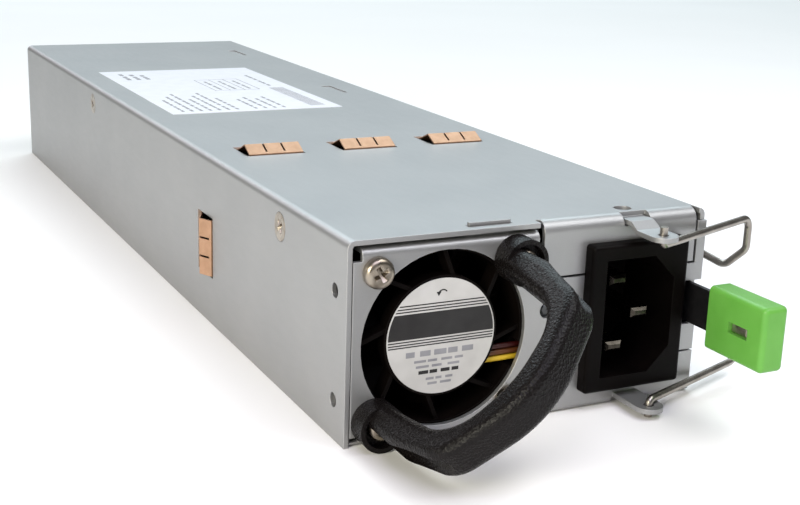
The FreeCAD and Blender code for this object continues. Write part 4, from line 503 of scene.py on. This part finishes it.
def turned(profile, segments=48):
    """Closed solid of revolution about Z from radius and height pairs that start and end on the axis."""
    made = bmesh.new()
    rings = []
    for radius, height in profile:
        if radius == 0.0:
            rings.append([made.verts.new((0.0, 0.0, height))])
            continue
        ring = []
        for step in range(segments):
            angle = 2 * math.pi * step / segments
            ring.append(made.verts.new((radius * math.cos(angle), radius * math.sin(angle), height)))
        rings.append(ring)
    for lower, upper in zip(rings, rings[1:]):
        for step in range(segments):
            after = (step + 1) % segments
            if len(lower) == 1:
                made.faces.new((lower[0], upper[after], upper[step]))
            elif len(upper) == 1:
                made.faces.new((lower[step], lower[after], upper[0]))
            else:
                made.faces.new((lower[step], lower[after], upper[after], upper[step]))
    bmesh.ops.recalc_face_normals(made, faces=made.faces)
    return made


def close_box(maker, corners):
    """Six faces over two rings of four corners."""
    maker.faces.new(corners[3::-1])
    maker.faces.new(corners[4:])
    for step in range(4):
        after = (step + 1) % 4
        maker.faces.new((corners[step], corners[after], corners[after + 4], corners[step + 4]))


# Screws

# Cross recess: shares of its reach and width at its foot, the cutter's rise over the head, broken edges
RECESS_FOOT_REACH = 0.38
RECESS_FOOT_WIDTH = 0.62
RECESS_OVERCUT = 0.2 * MM
EDGE_BREAK = 0.07 * MM
EDGE_ANGLE = math.radians(38)

# What a CAD screw's box doesn't show: its head's height, its thread and point, and the sheet that it holds
PAN_HEIGHT = 2.0 * MM
THREAD_RADIUS = 1.5 * MM
POINT_SHARE = 0.8
POINT_LENGTH = 0.3 * MM
SHEET = 1.0 * MM

# Pan head, in shares of its height or radius
PAN_WALL = 0.36
PAN_SHOULDER = 0.93
PAN_CROWN = 0.62
PAN_FLAT = 0.3
PAN_FLAT_LEVEL = 0.99
PAN_STEPS = 8

# Countersunk head: its rim below the sheet's face
RIM_DEPTH = 0.1 * MM
RIM_EDGE = 0.04 * MM
RIM_BREAK = 0.05 * MM


def wedge_arm(reach, width, depth, top):
    """Tapered bar that cuts one slot of a cross recess."""
    made = bmesh.new()
    corners = []
    foot = (top - depth, RECESS_FOOT_REACH, RECESS_FOOT_WIDTH)
    for height, long_share, wide_share in ((top, 1.0, 1.0), foot):
        for x, y in ((-1, -1), (1, -1), (1, 1), (-1, 1)):
            spot = (x * reach * long_share, y * width / 2 * wide_share, height)
            corners.append(made.verts.new(spot))
    close_box(made, corners)
    bmesh.ops.recalc_face_normals(made, faces=made.faces)
    return made


def crossed(blank, reach, width, depth, top):
    """Screw blank with a cross recess cut into its head, edges slightly broken."""
    screw = as_object("screw_blank", blank)
    cutters = []
    for turn in (0, 90):
        cutter = as_object("recess_cutter", wedge_arm(reach, width, depth, top + RECESS_OVERCUT))
        cutter.rotation_euler.z = math.radians(turn)
        cutters.append(cutter)
        cut = screw.modifiers.new("recess", "BOOLEAN")
        cut.object = cutter
        cut.solver = "EXACT"
    soften = screw.modifiers.new("soften", "BEVEL")
    soften.width = EDGE_BREAK
    soften.segments = 2
    soften.limit_method = "ANGLE"
    soften.angle_limit = EDGE_ANGLE
    soften.use_clamp_overlap = True
    bpy.context.view_layer.update()
    shaped = screw.evaluated_get(bpy.context.evaluated_depsgraph_get())
    made = bmesh.new()
    made.from_mesh(shaped.to_mesh())
    for spare in (screw, *cutters):
        bpy.data.objects.remove(spare)
    return made


def smooth(target, degrees=32):
    """Round faces shade smooth and corners stay sharp."""
    mesh = target.data
    mesh.shade_smooth()
    mesh.set_sharp_from_angle(angle=math.radians(degrees))


def shank(thread, length):
    """Profile of a thread of this radius, from its point up."""
    return [(0.0, -length), (POINT_SHARE * thread, -length), (thread, POINT_LENGTH - length)]


def pan_blank(radius, height, thread, length):
    """Pan head: a short wall, then an arc over to a nearly flat crown; the seat is at zero."""
    wall = PAN_WALL * height
    shoulder = PAN_SHOULDER * (height - wall)
    profile = shank(thread, length) + [(thread, 0.0), (radius, 0.0)]
    for step in range(PAN_STEPS + 1):
        angle = 0.5 * math.pi * step / PAN_STEPS
        out = PAN_CROWN + (1 - PAN_CROWN) * math.cos(angle)
        profile.append((radius * out, wall + shoulder * math.sin(angle)))
    profile.append((PAN_FLAT * radius, PAN_FLAT_LEVEL * height))
    profile.append((0.0, height))
    return turned(profile)


def flat_blank(radius, sheet, thread, length):
    """Countersunk head flush with the sheet's outside, which is at zero."""
    return turned(shank(thread, length) + [
        (thread, -sheet),
        (radius - sheet, -sheet),
        (radius - RIM_DEPTH, -RIM_DEPTH),
        (radius, -RIM_EDGE),
        (radius - RIM_BREAK, 0.0),
        (0.0, 0.0),
    ])


def screws(name, node, blank_for, recess, spin):
    """Detailed screws in place of a CAD node's plain ones, each turned to its own angle."""
    reach, width, depth = (side * MM for side in recess)
    joined = bmesh.new()
    for number, (low, high) in enumerate(solids_of(node)):
        blank, seat, facing, top = blank_for(low, high)
        shaped = crossed(blank, reach, width, depth, top)
        turn = Matrix.Rotation(math.radians(spin * (number + 1)), 4, "Z")
        aim = Vector(facing).to_track_quat("Z", "Y").to_matrix().to_4x4()
        shaped.transform(Matrix.Translation(seat) @ aim @ turn)
        scratch = bpy.data.meshes.new("scratch")
        shaped.to_mesh(scratch)
        shaped.free()
        joined.from_mesh(scratch)
        bpy.data.meshes.remove(scratch)
    made = piece(name, joined, screw_plate, "case")
    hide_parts(node)
    smooth(made)


def pan_in(low, high):
    """Pan-head blank, seat, facing and top of head for a solid along Y with its head to the front."""
    radius = (high.x - low.x) / 2
    seat = Vector(((low.x + high.x) / 2, low.y + PAN_HEIGHT, (low.z + high.z) / 2))
    return pan_blank(radius, PAN_HEIGHT, THREAD_RADIUS, high.y - seat.y), seat, (0, -1, 0), PAN_HEIGHT


def flat_in(low, high):
    """Countersunk blank, seat, facing and top of head for a solid along X with its head outwards."""
    outwards = 1 if low.x + high.x > 0 else -1
    radius = (high.z - low.z) / 2
    face = high.x if outwards > 0 else low.x
    seat = Vector((face, (low.y + high.y) / 2, (low.z + high.z) / 2))
    return flat_blank(radius, SHEET, THREAD_RADIUS, high.x - low.x), seat, (outwards, 0, 0), 0.0


# A recess is its reach, width and depth in millimetres, and a spin is the turn in degrees from screw to screw
screws("fan_screws_crossed", "fan_screws", pan_in, recess=(1.75, 0.95, 1.5), spin=27)
screws("handle_screws_crossed", "handle_screws", pan_in, recess=(1.5, 0.85, 1.4), spin=52)
screws("cover_screws_crossed", "cover_screws", flat_in, recess=(1.6, 0.85, 1.3), spin=33)

# Prints on the labels, thin closed plates on the film, laid out in millimetres

INK = 0.02 * MM


def bar(maker, matrix, left, right, low, top):
    """Thin box on a label, in the label's own flat millimetres."""
    corners = []
    for height in (0.0, INK):
        for x, y in ((left, low), (right, low), (right, top), (left, top)):
            corners.append(maker.verts.new(matrix @ Vector((x * MM, y * MM, height))))
    close_box(maker, corners)


def plate(maker, matrix, outline):
    """Thin plate with any outline, given in millimetres and in order against the clock."""
    lower = [maker.verts.new(matrix @ Vector((x * MM, y * MM, 0.0))) for x, y in outline]
    upper = [maker.verts.new(matrix @ Vector((x * MM, y * MM, INK))) for x, y in outline]
    maker.faces.new(lower[::-1])
    maker.faces.new(upper)
    for step in range(len(outline)):
        after = (step + 1) % len(outline)
        maker.faces.new((lower[step], lower[after], upper[after], upper[step]))


def chord(radius, height):
    """Half the width of a circle at a height."""
    return math.sqrt(max(0.0, radius * radius - height * height))


def band_outline(radius, low, top, steps=8):
    """Part of a disc between two heights."""
    right = []
    for step in range(steps + 1):
        height = low + (top - low) * step / steps
        right.append((chord(radius, height), height))
    return right + [(-x, y) for x, y in reversed(right)]


# Share of its room that the shortest word in a row takes, what the longest adds, and how the lengths change
SHORT_WORD = 0.62
LONGER_WORD = 0.26
WORD_LENGTHS = 5
WORD_STRIDE = 7


def words(maker, matrix, start, end, level, size, count, upright=False):
    """Row of bars of uneven length, standing for a line of small print."""
    room = (end - start) / count
    for number in range(count):
        uneven = (number * WORD_STRIDE + count) % WORD_LENGTHS / (WORD_LENGTHS - 1)
        first = start + number * room
        last = first + (SHORT_WORD + LONGER_WORD * uneven) * room
        if upright:
            bar(maker, matrix, level, level + size, first, last)
        else:
            bar(maker, matrix, first, last, level, level + size)


# Turning arrow: its middle over the label's, its radii, its arc in degrees and its head from the arc's end
ARROW_LEVEL = 8.2
ARROW_OUTSIDE = 1.15
ARROW_INSIDE = 0.9
ARROW_START = 35
ARROW_STEP = 9.2
ARROW_POINTS = 13
ARROW_HEAD = ((-0.55, 0.1), (-0.05, -0.75), (0.5, 0.12))


def arrow_arc(radius):
    """Points of the turning arrow's arc at a radius, against the clock."""
    turns = [math.radians(ARROW_START + ARROW_STEP * number) for number in range(ARROW_POINTS)]
    return [(radius * math.cos(turn), ARROW_LEVEL + radius * math.sin(turn)) for turn in turns]


def turning_arrow(maker, matrix):
    """Arc with a pointed head."""
    outside = arrow_arc(ARROW_OUTSIDE)
    inside = arrow_arc(ARROW_INSIDE)
    plate(maker, matrix, outside + inside[::-1])
    end_x, end_y = Vector(outside[-1]).lerp(Vector(inside[-1]), 0.5)
    plate(maker, matrix, [(end_x + x, end_y + y) for x, y in ARROW_HEAD])


# Hub label, from its middle; a row is its start, end, level, letter height and number of words
HUB_MARGIN = 0.25
HUB_BAND = (0.1, 5.1)
HUB_RULES = (-1.5, -1.0, -0.45, 5.45, 6.0, 6.6)
HUB_RULE_WIDTH = 0.24
HUB_DARK_ROW = (-4.6, 4.9, -7.2, 0.7, 4)
HUB_FAINT_ROWS = (
    (-7.4, 7.6, -3.6, 1.1, 5),
    (-5.6, 6.0, -4.85, 0.5, 4),
    (-5.2, 5.0, -5.95, 0.5, 3),
    (-3.0, 3.3, -8.5, 0.5, 3),
    (-2.6, 2.8, -9.5, 0.5, 2),
)


def hub_print():
    """Plain dark band between thin rules, a turning arrow and rows of small marks on the hub's label."""
    low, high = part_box("fan_label")
    edge = (high.x - low.x) / 2 / MM - HUB_MARGIN
    matrix = Matrix.Translation(((low.x + high.x) / 2, low.y, (low.z + high.z) / 2))
    matrix = matrix @ Matrix.Rotation(math.radians(90), 4, "X")
    dark = bmesh.new()
    plate(dark, matrix, band_outline(edge, *HUB_BAND))
    for height in HUB_RULES:
        plate(dark, matrix, band_outline(edge, height, height + HUB_RULE_WIDTH, steps=2))
    turning_arrow(dark, matrix)
    words(dark, matrix, *HUB_DARK_ROW)
    piece("hub_print", dark, print_ink, "case")
    faint = bmesh.new()
    for row in HUB_FAINT_ROWS:
        words(faint, matrix, *row)
    piece("hub_print_faint", faint, faint_ink, "case")


# Top label, from its front left corner; rows run along it, each with its end and its number of words
LETTERS = 0.8
ROW_START = 3.0
LEFT_ROWS = ((24.0, 6), (29.0, 7), (34.0, 8), (24.0, 6), (29.0, 7), (34.0, 8), (24.0, 6))
LEFT_LEVEL = 3.5
LEFT_SPACING = 2.6
MIDDLE_ROWS = ((20.0, 5), (23.0, 5), (20.0, 5), (23.0, 5))
MIDDLE_LEVEL = 24.5
MIDDLE_SPACING = 2.8

# Large rows near the rear end, measured from that end
LARGE_LETTERS = 1.3
LARGE_START = 19.0
LARGE_ENDS = (5.0, 7.0, 9.0)
LARGE_WORDS = 3
LARGE_LEVEL = 4.5
LARGE_SPACING = 3.0

# Ruled table
TABLE_START = 36.0
TABLE_END = 58.0
TABLE_RULES = (24.0, 28.6, 33.2, 37.8)
TABLE_RULE_WIDTH = 0.25
TABLE_MARGIN = 2.0
TABLE_ROW_LEVEL = 1.9
TABLE_WORDS = 4

# Fine stripes along the right edge, their sides measured from it, and the row after them
STRIPES = 44
STRIPE_START = 4.0
STRIPE_PITCH = 0.78
STRIPE_WIDTHS = (0.2, 0.3, 0.4)
STRIPE_SIDES = (8.0, 3.5)
CODE_START = 42.0
CODE_END = 66.0
CODE_LEVEL = 6.5
CODE_LETTERS = 0.9
CODE_WORDS = 6


def paragraph(maker, matrix, start, level, spacing, size, rows):
    """Rows of small print along a label, one beside the other."""
    for number, (end, count) in enumerate(rows):
        words(maker, matrix, start, end, level + spacing * number, size, count, upright=True)


def ruled_table(maker, matrix):
    """Rows of words between long rules, closed by a rule at each end."""
    for level in TABLE_RULES:
        bar(maker, matrix, level, level + TABLE_RULE_WIDTH, TABLE_START, TABLE_END)
    left = TABLE_RULES[0]
    right = TABLE_RULES[-1] + TABLE_RULE_WIDTH
    for level in (TABLE_START, TABLE_END - TABLE_RULE_WIDTH):
        bar(maker, matrix, left, right, level, level + TABLE_RULE_WIDTH)
    start = TABLE_START + TABLE_MARGIN
    end = TABLE_END - TABLE_MARGIN
    for level in TABLE_RULES[:-1]:
        words(maker, matrix, start, end, level + TABLE_ROW_LEVEL, LETTERS, TABLE_WORDS, upright=True)


def striped_code(maker, matrix, wide):
    """Block of stripes of three widths, with a row of words after it."""
    left, right = (wide - side for side in STRIPE_SIDES)
    for number in range(STRIPES):
        thick = STRIPE_WIDTHS[number % len(STRIPE_WIDTHS)]
        start = STRIPE_START + number * STRIPE_PITCH
        bar(maker, matrix, left, right, start, start + thick)
    words(maker, matrix, CODE_START, CODE_END, wide - CODE_LEVEL, CODE_LETTERS, CODE_WORDS, upright=True)


def plate_print():
    """Lengthwise rows, a ruled table and a block of fine stripes on the top label."""
    low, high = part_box("spec_label")
    matrix = Matrix.Translation((low.x, low.y, high.z))
    wide = (high.x - low.x) / MM
    long = (high.y - low.y) / MM
    large_rows = [(long - gap, LARGE_WORDS) for gap in LARGE_ENDS]
    ink = bmesh.new()
    paragraph(ink, matrix, ROW_START, LEFT_LEVEL, LEFT_SPACING, LETTERS, LEFT_ROWS)
    paragraph(ink, matrix, ROW_START, MIDDLE_LEVEL, MIDDLE_SPACING, LETTERS, MIDDLE_ROWS)
    paragraph(ink, matrix, long - LARGE_START, LARGE_LEVEL, LARGE_SPACING, LARGE_LETTERS, large_rows)
    ruled_table(ink, matrix)
    striped_code(ink, matrix, wide)
    piece("plate_print", ink, faint_ink, "case")


hub_print()
plate_print()

# Studio

# Camera, solved from the photograph's edges: its lens in millimetres and its place in metres
SENSOR_WIDTH = 36.0
FOCAL_LENGTH = 59.16
NEAREST = 0.01
CAMERA_SPOT = Vector((-0.13242, -0.3504, 0.10128))
CAMERA_AIM = Vector((0.4318, 0.8608, -0.2694))
CAMERA_ROLL = math.radians(1.882)

# Floor, surround and the point that the lamps face, in metres
FLOOR_HALF = 6.0
SURROUND_STRENGTH = 0.125
LIT_POINT = Vector((0.0, -0.08, 0.02))


def add_camera():
    """Camera that sees the part as the photograph does."""
    data = bpy.data.cameras.new("camera")
    data.sensor_width = SENSOR_WIDTH
    data.lens = FOCAL_LENGTH
    data.clip_start = NEAREST
    camera = bpy.data.objects.new("camera", data)
    bpy.context.scene.collection.objects.link(camera)
    bpy.context.scene.camera = camera
    aim = CAMERA_AIM.to_track_quat("-Z", "Y").to_matrix().to_4x4()
    camera.matrix_world = Matrix.Translation(CAMERA_SPOT) @ aim @ Matrix.Rotation(CAMERA_ROLL, 4, "Z")


def paper_white():
    """Seamless studio paper."""
    surface = Surface("paper_white", roughness=0.9, specular=0.1)
    clouds = surface.noise(120.0, 2.0)
    surface.feed("Base Color", surface.tint(clouds, (0.95, 0.935, 0.92), (0.965, 0.95, 0.935)))
    return surface.material


def add_floor():
    """Wide sheet of paper under the part."""
    corners = [(x * FLOOR_HALF, y * FLOOR_HALF, 0.0) for x, y in ((-1, -1), (1, -1), (1, 1), (-1, 1))]
    mesh = bpy.data.meshes.new("floor")
    mesh.from_pydata(corners, [], [(0, 1, 2, 3)])
    mesh.materials.append(paper_white())
    floor = bpy.data.objects.new("floor", mesh)
    floor.location.z = cad_low.z
    bpy.context.scene.collection.objects.link(floor)


def add_world():
    """Even, dim studio surround."""
    world = bpy.data.worlds.new("studio")
    world.use_nodes = True
    bpy.context.scene.world = world
    surround = world.node_tree.nodes["Background"]
    surround.inputs["Color"].default_value = (1.0, 1.0, 1.0, 1.0)
    surround.inputs["Strength"].default_value = SURROUND_STRENGTH


def softbox(name, spot, size, power, colour):
    """Rectangular lamp that faces the lit point; place and size in metres, power in watts."""
    data = bpy.data.lights.new(name, "AREA")
    data.shape = "RECTANGLE"
    data.size, data.size_y = size
    data.energy = power
    data.color = colour
    lamp = bpy.data.objects.new(name, data)
    lamp.location = spot
    lamp.rotation_mode = "QUATERNION"
    lamp.rotation_quaternion = (LIT_POINT - Vector(spot)).to_track_quat("-Z", "Y")
    bpy.context.scene.collection.objects.link(lamp)


add_camera()
add_floor()
add_world()
softbox("rear_high", (0.6, 1.6, 1.7), (2.4, 1.2), 39.5, (0.8, 0.94, 1.0))
softbox("rear_left", (-0.58, 1.6, 0.9), (1.0, 0.5), 5.2, (0.97, 0.95, 1.0))
softbox("over_right", (0.37, -0.37, 0.73), (0.5, 0.5), 3.7, (0.97, 0.99, 1.0))
softbox("near_top", (-0.1, -0.5, 0.6), (0.5, 0.4), 2.3, (0.83, 0.81, 1.0))
softbox("near_left", (-0.7, -0.5, 0.3), (0.5, 0.4), 6.5, (1.0, 0.965, 0.82))

bpy.context.scene.view_settings.view_transform = "Standard"
